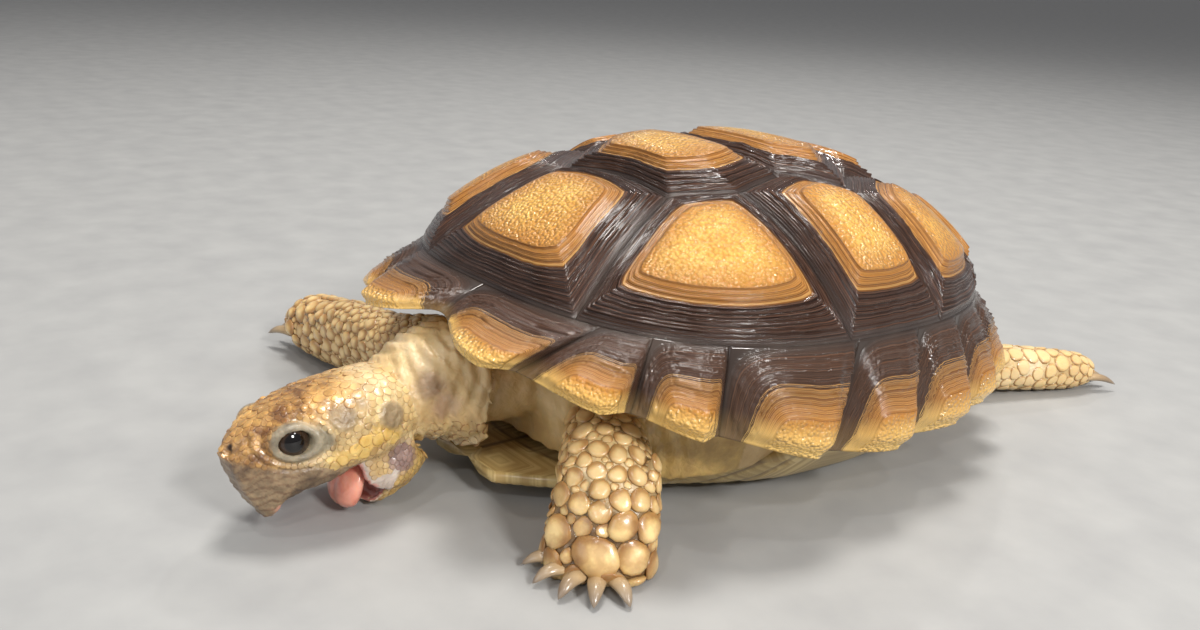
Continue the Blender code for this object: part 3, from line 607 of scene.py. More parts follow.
# %% Plates from rings
def ring_points(outline, centre, shares, roundness):
    """Plan points ring by ring: the outline shrinks to the centre and its corners round off."""
    window = np.exp(-(np.arange(-14, 15) / 7.0) ** 2)
    window /= window.sum()
    padded = np.concatenate((outline[-14:], outline, outline[:14]))
    soft = np.stack([np.convolve(padded[:, i], window, "valid") for i in (0, 1)], -1)
    rings = []
    for k in shares:
        w = roundness * (1 - smooth(0.45, 0.97, k))
        rings.append(centre + (outline * (1 - w) + soft * w - centre) * k)
    return np.array(rings)


def build_scute(name, rings, relief, centre):
    """A closed plate: relief on top, side walls, and a plain underside."""
    height, age, ridge = relief
    rows, count = height.shape
    base, peak = dome_point(rings), dome_point(centre)
    top = base + outward(base) * height[..., None]
    peak_top = peak + outward(peak) * height[0].mean()
    inner = dome_point(centre + (rings[-1] - centre) * 0.5)
    wall, inner, peak_under = (p - outward(p) * PLATE_THICKNESS for p in (base[-1], inner, peak))
    points = np.concatenate((top.reshape(-1, 3), wall, inner, peak_top[None], peak_under[None]))
    growth = np.concatenate((age.reshape(-1), np.full(count * 2, 0.97), (0.0, 0.97)))
    ridges = np.concatenate((ridge.reshape(-1), np.zeros(count * 2 + 2)))
    made = make_object(name, settle(points), closed_stack(rows + 2, count), CARAPACE_HORN,
                       {"growth": growth, "ridge": ridges})
    outward_faces(made)
    return made


def outward_faces(made):
    """Turn all faces outwards."""
    bm = bmesh.new()
    bm.from_mesh(made.data)
    bmesh.ops.recalc_face_normals(bm, faces=bm.faces)
    if bm.calc_volume(signed=True) < 0:
        bmesh.ops.reverse_faces(bm, faces=bm.faces)
    bm.to_mesh(made.data)
    bm.free()


# %% [markdown]
# ### Vertebral and costal scutes
# Five vertebrals run down the back and four costals lie on each side.  Each is a list of
# corners in the plan, and edges between two corners of the outer ring follow the ring.

# %% Scute plans
V_FRONT = ((0.25, 0.46), (0.35, 0.035), (0.30, -0.35), (0.20, -0.66))
V_SIDE = ((0.37, 0.27), (0.485, -0.20), (0.37, -0.50))
V1_CORNER, V5_CORNER = 23.5, 156.0
COSTAL_ANGLES = (73.5, 103.0, 131.0)
SEAM_GAP = 0.02
AROUND = 150
DOME_LIFT = (2.9, 2.6, 1.3)     # height at the middle, at the areola's edge and past the ledges


def on_ring(angle):
    return (math.sin(math.radians(angle)), math.cos(math.radians(angle)), angle)


def plan_outline(corners, centre):
    """Evenly spaced plan points round a scute, with its corners kept, pulled in by the gap."""
    sides = []
    for a, b in zip(corners, corners[1:] + corners[:1]):
        t = np.linspace(0, 1, 60, endpoint=False)
        if len(a) == len(b) == 3:
            angle = np.radians(a[2] + ((b[2] - a[2] + 180) % 360 - 180) * t)
            sides.append(np.stack((np.sin(angle), np.cos(angle)), -1))
        else:
            start, end = np.array(a[:2]), np.array(b[:2])
            sides.append(start + (end - start) * t[:, None])
    lengths = [np.linalg.norm(np.diff(dome_point(s), axis=0), axis=1).sum() for s in sides]
    picked = []
    for side, length in zip(sides, lengths):
        count = max(6, round(AROUND * length / sum(lengths)))
        picked.append(side[np.round(np.linspace(0, 60, count, endpoint=False)).astype(int)])
    outline = np.concatenate(picked)
    reach = np.linalg.norm(dome_point(outline) - dome_point(np.array(centre)), axis=-1, keepdims=True)
    return centre + (outline - centre) * (1 - SEAM_GAP / reach)


def dome_scute(name, corners, centre, seed):
    rng = np.random.default_rng(seed)
    centre = np.array(centre)
    outline = plan_outline(corners, centre)
    rings = ring_points(outline, centre, SHARES, 0.75)
    turns = np.arange(len(outline)) / len(outline)
    k, turn = np.meshgrid(SHARES, turns, indexing="ij")
    relief = ring_relief(rng, k, turn, DOME_LIFT, RIDGES, 0.78)
    made = build_scute("horn_" + name, rings, relief, centre)
    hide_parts("scute_" + name)
    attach(made, "root")


(j12, j23, j34, j45), (s12, s23, s34) = V_FRONT, V_SIDE


def flip(corner):
    return (-corner[0], corner[1]) if len(corner) == 2 else (-corner[0], corner[1], -corner[2])


VERTEBRALS = {
    "v1": ([on_ring(V1_CORNER), on_ring(-V1_CORNER), flip(j12), j12], (0, 0.70)),
    "v2": ([j12, flip(j12), flip(s12), flip(j23), j23, s12], (0, 0.245)),
    "v3": ([j23, flip(j23), flip(s23), flip(j34), j34, s23], (0, -0.165)),
    "v4": ([j34, flip(j34), flip(s34), flip(j45), j45, s34], (0, -0.50)),
    "v5": ([j45, flip(j45), on_ring(-V5_CORNER), on_ring(V5_CORNER)], (0, -0.82)),
}
c12, c23, c34 = (on_ring(a) for a in COSTAL_ANGLES)
COSTALS = {
    "c1": ([on_ring(V1_CORNER), j12, s12, c12], (0.50, 0.50)),
    "c2": ([c12, s12, j23, s23, c23], (0.66, 0.035)),
    "c3": ([c23, s23, j34, s34, c34], (0.62, -0.36)),
    "c4": ([c34, s34, j45, on_ring(V5_CORNER)], (0.44, -0.68)),
}
for number, (key, (corners, centre)) in enumerate(VERTEBRALS.items()):
    dome_scute(key, corners, centre, 100 + number)
for number, (key, (corners, centre)) in enumerate(COSTALS.items()):
    dome_scute(key + "_left", corners, centre, 200 + number)
    dome_scute(key + "_right", [flip(c) for c in corners], (-centre[0], centre[1]), 300 + number)
print(len(VERTEBRALS), "vertebrals and", 2 * len(COSTALS), "costals")

# %% [markdown]
# ### Marginal scutes
# Eleven marginals on each side and one supracaudal over the tail form the rim.  Their areola
# sits on the free edge, a little behind the middle, so the growth rings are open arches that
# end on the rim.  The rim itself stays yellow, and the rear corner stands out as a blunt tooth.

# %% Marginal sizes and surface
MARGINAL_INNER = (0.0, 28.5, 37.0, 49.0, 75.5, 94.5, 110.0, 124.0, 137.0, 149.0, 159.0, 169.0)
MARGINAL_OUTER = (0.0, 19.1, 35.7, 49.0, 71.5, 93.5, 114.0, 125.5, 138.0, 150.0, 161.0, 172.0)
RIM_TOOTH, RIM_TOOTH_AT = 2.5, 0.80
MARGINAL_BULGE = 1.3
MARGINAL_LIFT = (1.9, 1.6, 1.0)
MARGINAL_AREOLA = 0.74
ARCH_POWER = 10.0
ARCH_SINK = 0.66            # below 1 the rings crowd towards the rim
ARCH_LEAN = 0.45            # how far the front side of each arch leans back at its top
CROWDING = 1.6              # above 1 the rings crowd at the rear side
MARGINAL_GAP = 0.003
UNDER_LAP = 0.012           # how far the undersides reach under their neighbours
MARGINAL_GRID = (60, 46)
SIDE_MARGINALS = 11


def marginal_surface(inner, outer):
    """A function from the marginal's own plan (s along the rim, t from seam to rim) to the shell."""
    def surface(plan):
        s, t = plan[..., 0], plan[..., 1]
        high_angle = np.radians(inner[0] + (inner[1] - inner[0]) * s)
        low_angle = np.radians(outer[0] + (outer[1] - outer[0]) * s)
        tooth = np.where(s < RIM_TOOTH_AT, s / RIM_TOOTH_AT, (1 - s) / (1 - RIM_TOOTH_AT))
        tooth = smooth(0, 1.1, tooth.clip(0, 1)) * 1.15
        top, rim = seam_point(high_angle), rim_point(low_angle, RIM_TOOTH * (tooth - 0.45))
        base = top + (rim - top) * t[..., None]
        return base + outward(base) * (MARGINAL_BULGE * 2 * t * (1 - t))[..., None]
    return surface


# %% [markdown]
# The arches come from one number per point.  Its distance beside the areola and its distance
# above the rim are joined by a high power, which gives an arch with square shoulders.  The
# underside reaches a little under the neighbours, so no light shows between them.

# %% Marginals
def arches(s, t, areola):
    """Share of the marginal's growth at each place, and the turn round its areola."""
    lean = 1 - ARCH_LEAN * (1 - t) if areola > 0.5 else 1 + 0 * t
    before = ((areola - s).clip(0) / areola) ** lean
    behind = ((s - areola).clip(0) / (1 - areola)) ** CROWDING
    beside = np.where(s < areola, before, behind)
    k = (beside ** ARCH_POWER + (1 - t) ** (ARCH_POWER * ARCH_SINK)) ** (1 / ARCH_POWER)
    turn = np.arctan2(beside * np.sign(s - areola), 1 - t + 1e-6) / TAU + 0.5
    return k.clip(0, 1), turn


def marginal(name, node, inner, outer, seed, areola=MARGINAL_AREOLA):
    rng = np.random.default_rng(seed)
    surface = marginal_surface(inner, outer)
    s, t = np.meshgrid(*(np.linspace(0, 1, count) for count in MARGINAL_GRID), indexing="xy")
    height, age, ridge = ring_relief(rng, *arches(s, t, areola), MARGINAL_LIFT, RIDGES, 0.80)
    at_rim = smooth(0.80, 1.0, t)
    height = height * (1 - at_rim) - 0.1 * at_rim
    base = surface(np.stack((s * (1 - 2 * MARGINAL_GAP) + MARGINAL_GAP, t), -1))
    top = base + outward(base) * height[..., None]
    wide = surface(np.stack((s * (1 + 2 * UNDER_LAP) - UNDER_LAP, t), -1))
    under = wide - outward(wide) * (1.8 - 1.0 * t)[..., None]
    rings = np.concatenate((top, under[:, ::-1]), axis=1)
    rows, count = rings.shape[:2]
    first_end, last_end = tuple(range(count))[::-1], tuple(range((rows - 1) * count, rows * count))
    marks = {"growth": (age, 0.56 + 0 * age), "ridge": (ridge, 0 * ridge),
             "rim": (smooth(0.45, 1.0, t), 1 + 0 * t)}
    marks = {key: np.concatenate(pair, axis=1).reshape(-1) for key, pair in marks.items()}
    made = make_object(name, settle(rings.reshape(-1, 3)),
                       stack_faces(rows, count) + [first_end, last_end], MARGINAL_HORN, marks)
    outward_faces(made)
    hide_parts(node)
    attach(made, "root")


for i in range(SIDE_MARGINALS):
    for n, (side, sign) in enumerate((("left", 1), ("right", -1))):
        label = f"{i + 1:02d}_{side}"
        spans = [[sign * a for a in angles[i:i + 2]] for angles in (MARGINAL_INNER, MARGINAL_OUTER)]
        marginal("rim_" + label, "marginal_" + label, *spans, 400 + i * 2 + n)
marginal("rim_tail", "supracaudal", *((angles[-1], 360 - angles[-1]) for angles in
                                      (MARGINAL_INNER, MARGINAL_OUTER)), 460, 0.5)
print(2 * SIDE_MARGINALS + 1, "marginals")

# %% [markdown]
# ## One skin over all the flesh
# Trunk, neck, head, lower jaw, legs and tail are first lofted as simple overlapping bodies,
# each a little inside its solid, so that the scales laid on later end at the solid's outline.
# Booleans could join them, but would leave hard creases.  A voxel remesh melts them into one
# closed skin with no seams.

# %% Lofting flesh
SKIN_DEPTH = 0.45
flesh = []


def spline(rows, count):
    """Smooth stations through the given ones."""
    rows = np.asarray(rows, float)
    t = np.linspace(0, len(rows) - 1, count)
    i = np.minimum(t.astype(int), len(rows) - 2)
    f = (t - i)[:, None]
    a, b, c, d = (rows[np.clip(i + k, 0, len(rows) - 1)] for k in (-1, 0, 1, 2))
    square, cube = 2 * a - 5 * b + 4 * c - d, 3 * b - a - 3 * c + d
    return 0.5 * (2 * b + (c - a) * f + square * f ** 2 + cube * f ** 3)


def unit_ring(count, power=2.2):
    """Across and up of a ring with slightly squared shoulders."""
    a = np.arange(count) * TAU / count
    c, k = np.cos(a), np.sin(a)
    r = (np.abs(c) ** power + np.abs(k) ** power) ** (-1 / power)
    return c * r, k * r


def closed_loft(rings):
    """Points and faces of a closed body from equal rings."""
    rings = np.asarray(rings)
    rows, count = rings.shape[:2]
    points = np.concatenate((rings.reshape(-1, 3), rings[0].mean(0)[None], rings[-1].mean(0)[None]))
    return points, closed_stack(rows, count)


def add_flesh(rings):
    """One more body for the remesh."""
    flesh.append(closed_loft(rings))


def joined(bodies):
    """Points and faces of several bodies as one mesh."""
    all_points, all_faces = [], []
    for points, faces in bodies:
        first = sum(len(p) for p in all_points)
        all_faces += [tuple(first + i for i in face) for face in faces]
        all_points.append(points)
    return np.concatenate(all_points), all_faces


def ball_rings(centre, radii, axes, count=24, rows=14):
    """Rings of an ellipsoid in given axes."""
    tilt = np.linspace(0.12, math.pi - 0.12, rows)
    turn = np.arange(count) * TAU / count
    a, b, c = (np.asarray(v) * r for v, r in zip(axes, radii))
    ring_part = np.cos(turn)[:, None] * a + np.sin(turn)[:, None] * b
    return np.asarray(centre) + np.sin(tilt)[:, None, None] * ring_part + np.cos(tilt)[:, None, None] * c


# %% [markdown]
# ### Trunk
# Only the soft skin between shell and limbs shows, so the trunk's body stops under the dome.
# Its rings follow the shell's own formulas, which keeps it inside the shell all round.

# %% Trunk
TRUNK_TOP = 26.0
TRUNK_UNDER = 3.4
PLASTRON_UNDERSIDE, PLASTRON_THICKNESS = -9.6, 2.0
angles = np.arange(72) * TAU / 72
front, rear = np.maximum(np.cos(angles), 0) ** 2, np.maximum(-np.cos(angles), 0) ** 2
depth = TRUNK_UNDER + SKIN_DEPTH
signed = np.where(angles <= math.pi, angles, angles - TAU)
seam, rim = seam_point(angles), rim_point(signed, 0.0)
plan = np.stack((np.sin(angles), np.cos(angles)), -1)
shoulder = dome_point(plan * 0.85)
reach = 0.55 - 0.25 * front - 0.1 * rear
skirt = seam + (rim - seam) * reach[:, None]
x, f = ring(angles, 32.0, 37.5, 3.0, 3.0)
under = PLASTRON_UNDERSIDE + PLASTRON_THICKNESS + 1.2 + SKIN_DEPTH
belly = np.stack((x, -f, under + 4.0 * np.abs(np.sin(angles)) ** 6), -1)
trunk_rings = [shoulder - outward(shoulder) * depth, seam - outward(seam) * (depth + 0.3),
               skirt - outward(skirt) * (depth + 0.8 + 4.5 * front + 3.0 * rear)[:, None], belly]
trunk_rings = settle(np.array(trunk_rings))
trunk_rings[..., 2] = np.minimum(trunk_rings[..., 2], TRUNK_TOP)
add_flesh(trunk_rings)
print("trunk rings", trunk_rings.shape)

# %% [markdown]
# ### The head's own axes
# The head is turned, lowered and tilted.  Its features are far easier to place in axes of its
# own: forwards, to its left, and up from the back of the skull.

# %% Head space
HEAD_AT = own(-5.0, -57.0, 15.6)
HEAD_YAW, HEAD_PITCH, HEAD_ROLL = math.radians(-2.0), math.radians(13.0), math.radians(-8.0)
ahead = own(-math.sin(HEAD_YAW), -math.cos(HEAD_YAW), 0)
beside = own(math.cos(HEAD_YAW), -math.sin(HEAD_YAW), 0)
FORWARD = ahead * math.cos(HEAD_PITCH) - own(0, 0, 1) * math.sin(HEAD_PITCH)
crown_up = own(0, 0, 1) * math.cos(HEAD_PITCH) + ahead * math.sin(HEAD_PITCH)
SIDE = beside * math.cos(HEAD_ROLL) - crown_up * math.sin(HEAD_ROLL)
UP = crown_up * math.cos(HEAD_ROLL) + beside * math.sin(HEAD_ROLL)
HEAD_AXES = np.array((FORWARD, SIDE, UP))


def head_space(f, s, u):
    """A point given forwards, to the animal's left, and up from the back of the skull."""
    f, s, u = np.broadcast_arrays(f, s, u)
    return HEAD_AT + np.stack((f, s, u), -1) @ HEAD_AXES


def to_head(points):
    return (np.asarray(points) - HEAD_AT) @ HEAD_AXES.T


print("the head looks along", FORWARD.round(2))

# %% [markdown]
# ### Neck and collar
# A tortoise's neck slides in its own sleeve of skin: the sleeve ends near the shell in a thin
# scalloped lip that stands off the narrower neck behind it.

# %% Neck
NECK = (((-1.5, -34.0, 16.5), 11.5, 8.6), ((-2.2, -41.0, 16.4), 10.4, 9.2),
        ((-3.2, -47.5, 16.3), 9.2, 8.8), ((-4.2, -53.0, 15.7), 8.2, 8.0),
        (tuple(HEAD_AT - UP * 1.1), 7.4, 6.2), (tuple(HEAD_AT + FORWARD * 4 - UP * 0.6), 7.4, 5.6))
NECK_CORE_INSET = 2.0
LIP_FLARE = 1.5
c, k = unit_ring(64)
neck_table = spline([(*p, w, h) for p, w, h in NECK], 48)


def neck_ring(row, inset, wave=0.0):
    place, w, h = row[:3], row[3] - inset, row[4] - inset
    return place + np.stack((c * w, wave + 0 * c, k * h), -1)


core = [neck_ring(row, NECK_CORE_INSET if row[1] > -49 else SKIN_DEPTH + 0.4) for row in neck_table]
add_flesh(core)
turn = np.arange(64) / 64
scallop = 1.9 * slow_waves(np.random.default_rng(5), turn, 0.0, 5, 8)
hang = 0.35 + 0.65 * smooth(0.2, -0.9, k) + 0.25 * c
sleeve = [row for row in neck_table if row[1] < -46.0][::-1]
lip_at = sleeve[-1][1]
rings = []
for row in sleeve:
    near_lip = math.exp(-((row[1] - lip_at) / 2.5) ** 2)
    rings.append(neck_ring(row, SKIN_DEPTH + 0.1 - LIP_FLARE * near_lip * hang, scallop * near_lip))
rings.append(neck_ring(sleeve[-1], SKIN_DEPTH + 1.1 - LIP_FLARE * hang, scallop - 0.3))
rings.append(neck_ring(sleeve[-3], NECK_CORE_INSET + 0.2, scallop * 0.4))
add_flesh(rings)
print("neck and collar, rings", len(core), len(rings))

# %% [markdown]
# ### Head, jaws and cheeks
# The skull is a loft along the head's own axis.  The underside of the upper jaw is arched, so
# that a horny edge hangs round the palate, and the lower jaw is a trough for the tongue.  Thin
# cheeks of skin close the gape as far forward as the corner of the mouth.

# %% Head and jaws
HEAD_STATIONS = (
    # forward, half width, top, bottom, squareness
    (0.0, 7.6, 5.0, -7.2, 2.2), (3.0, 8.8, 5.5, -6.8, 2.2), (6.5, 9.3, 5.9, -5.8, 2.3),
    (10.0, 9.0, 6.2, -5.3, 2.4), (13.5, 8.2, 6.4, -5.9, 2.5), (17.0, 7.0, 6.2, -5.8, 2.5),
    (20.5, 5.5, 5.3, -6.5, 2.4), (23.2, 4.0, 4.2, -8.0, 2.3), (25.4, 2.6, 2.6, -8.3, 2.1))
BEAK_LEAN, BEAK_FROM = 0.058, 19.0
JAW_OPEN = math.radians(57)
JAW_HINGE = (4.4, -4.9)
JAW_STATIONS = (
    # along the jaw, half width, top, bottom
    (0.6, 6.9, 0.0, -8.4), (3.2, 6.6, -0.2, -7.8), (6.0, 5.6, -0.4, -5.9),
    (8.2, 4.1, -0.4, -3.6), (9.4, 2.4, -0.1, -1.8))
EYE_AT, EYE_RADIUS = (16.5, 5.5, 2.1), 2.65
LID_RADIUS = 3.0
EYE_SINK = 0.75
HEAD_SKIN = 0.35


def along_stations(stations, f, column):
    """One column of a table of stations, at the places f."""
    table = np.array(stations)
    return np.interp(f, table[:, 0], table[:, column])


rings = []
for f, wide, top, bottom, power in spline(HEAD_STATIONS, 60):
    c2, k2 = unit_ring(72, power)
    low_c, low_k = unit_ring(72, power + 2.2 * float(smooth(2, 8, f)))
    c2, k2 = np.where(k2 < 0, low_c, c2), np.where(k2 < 0, low_k, k2)
    s = (wide - HEAD_SKIN) * c2
    u = (top + bottom) / 2 + ((top - bottom) / 2 - HEAD_SKIN * (k2 > 0)) * k2
    lean = BEAK_LEAN * max(0.0, f - BEAK_FROM) * np.minimum(u, 0)
    arch = 2.4 * np.clip(1 - (s / (0.60 * wide)) ** 2, 0, 1) ** 0.7
    arch = arch * smooth(5, 9, f) * (1 - smooth(20.5, 23.0, f))
    u = u + arch * smooth(0.35, 0.9, -k2)
    rings.append(head_space(f + lean, s, u))
add_flesh(rings)
add_flesh(ball_rings(head_space(24.6, 0, 0.9), (1.5, 2.4, 2.2), HEAD_AXES))
print("head rings", len(rings))

# %% [markdown]
# The lower jaw has axes of its own as well, which swing down from the hinge, so one angle sets
# how wide the mouth gapes.

# %% Lower jaw, cheeks and lids
def jaw_space(f, s, u):
    """Jaw coordinates start at the hinge and swing down with the gape."""
    co, si = math.cos(JAW_OPEN), math.sin(JAW_OPEN)
    return head_space(JAW_HINGE[0] + f * co + u * si, s, JAW_HINGE[1] - f * si + u * co)


rings = []
c2, k2 = unit_ring(56, 2.4)
for f, wide, top, bottom in spline(JAW_STATIONS, 26):
    s = (wide - HEAD_SKIN) * c2
    u = (top + bottom) / 2 + ((top - bottom) / 2 - HEAD_SKIN) * k2
    trough = min(2.0, 0.5 * (top - bottom)) * np.clip(1 - (s / (0.80 * wide)) ** 2, 0, 1) ** 0.7
    rings.append(jaw_space(f, s, u - trough * smooth(0.35, 0.9, k2) * (1 - smooth(8.6, 9.3, f))))
add_flesh(rings)
for side in (1, -1):
    add_flesh(ball_rings(head_space(5.0, side * 6.1, -6.6), (4.6, 1.2, 4.6), HEAD_AXES))
    eye_middle = head_space(EYE_AT[0], side * (EYE_AT[1] - EYE_SINK), EYE_AT[2])
    add_flesh(ball_rings(eye_middle, (LID_RADIUS,) * 3, HEAD_AXES))
add_flesh(ball_rings(head_space(2.6, 0, -7.6), (3.2, 6.2, 4.2), HEAD_AXES))
print("jaw rings", len(rings))

# %% [markdown]
# ### Legs and tail
# The left foreleg stands like a pillar, the right one reaches far out to the side with its
# hand laid flat, the left hind leg is stretched back and the right one stands under the shell.
# Each is a loft along a few stations, so a leg is posed by moving its stations.  The list
# holds left foreleg, right foreleg, left hind leg, right hind leg and tail.

# %% Legs and tail
def limb_rings(spine, inset, floor, count=28, rows=30):
    """Rings along a leg or tail, from stations of place, half width, half height, across."""
    table = spline([(*p, w, h, *across) for p, w, h, across in spine], rows)
    places = table[:, :3]
    along = unit(np.gradient(places, axis=0))
    across = table[:, 5:8] - along * (along * table[:, 5:8]).sum(1, keepdims=True)
    across = unit(across)
    up = np.cross(along, across)
    c, k = unit_ring(count)
    rings = (places[:, None] + across[:, None] * (c * (table[:, 3:4] - inset))[..., None]
             + up[:, None] * (k * (table[:, 4:5] - inset))[..., None])
    rings[..., 2] = np.maximum(rings[..., 2], floor)
    return rings


LEGS = (
    # depth under the scales, lowest point, stations of place, half width, half height, across
    (1.7, 0.25, [
        ((10.0, -28.0, 13.5), 7.2, 6.6, (0.66, 0.75, 0)), ((18.5, -35.2, 13.3), 7.4, 6.9, (0.66, 0.75, 0)),
        ((25.0, -40.3, 11.4), 7.9, 6.9, (0.66, 0.75, 0)), ((28.2, -42.8, 8.4), 8.6, 6.5, (0.72, 0.69, 0)),
        ((29.3, -44.2, 4.5), 9.0, 6.7, (0.75, 0.66, 0)), ((29.8, -45.0, 1.4), 9.2, 7.0, (0.75, 0.66, 0)),
        ((30.0, -45.2, 0.0), 8.2, 6.2, (0.75, 0.66, 0))]),
    (1.2, 0.25, [
        ((-12.0, -30.0, 13.0), 7.0, 6.8, (0, -0.3, 1)), ((-21.0, -36.5, 12.6), 7.0, 6.8, (0, -0.4, 1)),
        ((-32.0, -39.4, 10.6), 6.6, 6.0, (0, -0.3, 1)), ((-43.0, -40.4, 8.7), 7.4, 6.2, (0, -0.1, 1)),
        ((-54.3, -40.2, 6.5), 7.2, 6.8, (0, -0.1, 1)), ((-62.6, -40.2, 5.7), 6.5, 6.9, (0, 0, 1)),
        ((-67.1, -40.2, 5.0), 4.6, 5.4, (0, 0, 1))]),
    (0.6, 0.25, [
        ((9.0, 30.0, 9.0), 7.0, 6.4, (1, 0, 0)), ((15.0, 41.0, 7.4), 6.6, 5.6, (1, -0.3, 0)),
        ((20.5, 50.5, 5.7), 5.6, 4.9, (1, -0.4, 0)), ((26.0, 61.0, 4.9), 4.9, 4.7, (1, -0.4, 0)),
        ((30.0, 69.0, 4.2), 4.6, 4.4, (1, -0.4, 0)), ((32.3, 74.6, 3.7), 4.4, 3.9, (1, -0.4, 0)),
        ((33.4, 78.0, 3.3), 3.4, 2.9, (1, -0.4, 0))]),
    (0.7, 0.25, [
        ((-8.0, 24.0, 11.0), 6.0, 6.0, (0, 0.3, 1)), ((-18.5, 33.5, 10.6), 6.8, 6.4, (0, 0.3, 1)),
        ((-25.5, 37.0, 8.6), 6.6, 6.2, (-0.5, 0.3, 0.8)), ((-28.5, 38.4, 5.6), 6.2, 5.8, (-0.9, 0.4, 0.2)),
        ((-29.6, 38.8, 2.4), 6.2, 5.8, (-0.9, 0.4, 0)), ((-29.8, 38.8, 0.0), 5.4, 5.2, (-0.9, 0.4, 0))]),
    (0.4, 0.0, [
        ((0, 34.0, 11.5), 5.0, 4.6, (1, 0, 0)), ((0, 43.0, 10.0), 4.2, 3.9, (1, 0, 0)),
        ((0.5, 50.0, 7.6), 2.9, 2.8, (1, 0, 0)), ((1.2, 55.5, 5.2), 1.5, 1.5, (1, 0, 0))]),
)
for depth, lowest, spine in LEGS:
    add_flesh(limb_rings(spine, depth, lowest))
ELBOW_AXES = np.array(((0.75, 0.66, 0), (-0.66, 0.75, 0), (0, 0, 1)))
fold = ball_rings(own(31.6, -37.8, 8.5), (0.8, 2.8, 7.0), ELBOW_AXES)
fold[..., 2] = np.maximum(fold[..., 2], 0.3)
add_flesh(fold)
print(len(flesh), "bodies of flesh")

# %% [markdown]
# ### Melting the bodies together
# The remesh runs as a modifier whose result is copied out.  Relaxing moves each point towards
# the mean of its neighbours, which takes the voxel steps away and rounds the creases where a
# leg joins the trunk, as loose skin does.

# %% Remesh
VOXEL = 0.45
rough = make_object("flesh", *joined(flesh), floor_look)
remesh = rough.modifiers.new("melt", "REMESH")
remesh.mode, remesh.voxel_size = "VOXEL", VOXEL * MM
graph = bpy.context.evaluated_depsgraph_get()
skin_mesh = bpy.data.meshes.new_from_object(rough.evaluated_get(graph))
bpy.data.objects.remove(rough)


def read_triples(items, name):
    flat = np.empty(len(items) * 3, np.float32)
    items.foreach_get(name, flat)
    return flat.reshape(-1, 3).astype(float)


def mesh_points(mesh):
    return (read_triples(mesh.vertices, "co") - SHIFT) / MM


def set_points(mesh, points):
    mesh.vertices.foreach_set("co", to_frame(points).astype(np.float32).ravel())
    mesh.update()


def mesh_edges(mesh):
    pairs = np.empty(len(mesh.edges) * 2, np.int64)
    mesh.edges.foreach_get("vertices", pairs)
    return pairs.reshape(-1, 2)


def mesh_normals(mesh):
    return read_triples(mesh.vertex_normals, "vector")


def relax(points, pairs, steps, amount):
    """Move points towards the mean of their neighbours; amount may differ from point to point."""
    amount = np.broadcast_to(np.asarray(amount, float), len(points))[:, None]
    degree = np.bincount(pairs.ravel(), minlength=len(points))[:, None].clip(1)
    for _ in range(steps):
        total = np.stack([np.bincount(pairs[:, 0], points[pairs[:, 1], axis], len(points))
                          + np.bincount(pairs[:, 1], points[pairs[:, 0], axis], len(points))
                          for axis in range(3)], -1)
        points = points + (total / degree - points) * amount
    return points


print("remeshed to", len(skin_mesh.vertices), "points")

# %% [markdown]
# The head is relaxed less than the legs, so that it keeps its edges, and its faces are then
# split once more, because lids, nostrils and the corner of the mouth need smaller ones.

# %% Relax, and finer faces for the head
points = mesh_points(skin_mesh)
h = to_head(points)
jaws = smooth(-1.0, 3.0, h[:, 0]) * (points[:, 1] < -50)
points = relax(points, mesh_edges(skin_mesh), 5, 0.5 - 0.28 * jaws)
set_points(skin_mesh, points)
bm = bmesh.new()
bm.from_mesh(skin_mesh)
h = to_head(points)
fine = (h[:, 0] > -1.5) & (h[:, 2] > -18) & (points[:, 1] < -50)
bm.verts.ensure_lookup_table()
edges = [e for e in bm.edges if fine[e.verts[0].index] and fine[e.verts[1].index]]
bmesh.ops.subdivide_edges(bm, edges=edges, cuts=1, use_grid_fill=True)
bmesh.ops.triangulate(bm, faces=[f for f in bm.faces if len(f.verts) > 4])
bm.to_mesh(skin_mesh)
bm.free()
points = mesh_points(skin_mesh)
h = to_head(points)
points = relax(points, mesh_edges(skin_mesh), 3, 0.5 * smooth(-2.5, 0, h[:, 0]) * (points[:, 1] < -50))
set_points(skin_mesh, points)
print("skin faces", len(skin_mesh.polygons))

# %% [markdown]
# ### The head's features
# The remeshed head is smooth, so its features are pressed into it as functions of place: thick
# lids round a deep almond of an eye, the ear's round scale, nostrils, the step where horn meets
# skin, and folds at the corner of the mouth.  They could be sculpted by hand.  Here a fold is
# a groove along a short path, which keeps each one editable by its points, width and depth.

# %% Folds, lids and nostrils
def near_path(points, path):
    """Distance from each point to a path of straight runs."""
    path = np.asarray(path, float)
    best = np.full(len(points), 1e9)
    for a, b in zip(path, path[1:]):
        span = b - a
        t = np.clip((points - a) @ span / (span @ span), 0, 1)
        best = np.minimum(best, np.linalg.norm(points - a - t[:, None] * span, axis=1))
    return best


def groove(points, path, width, depth):
    return -depth * np.exp(-(near_path(points, path) / width) ** 2)


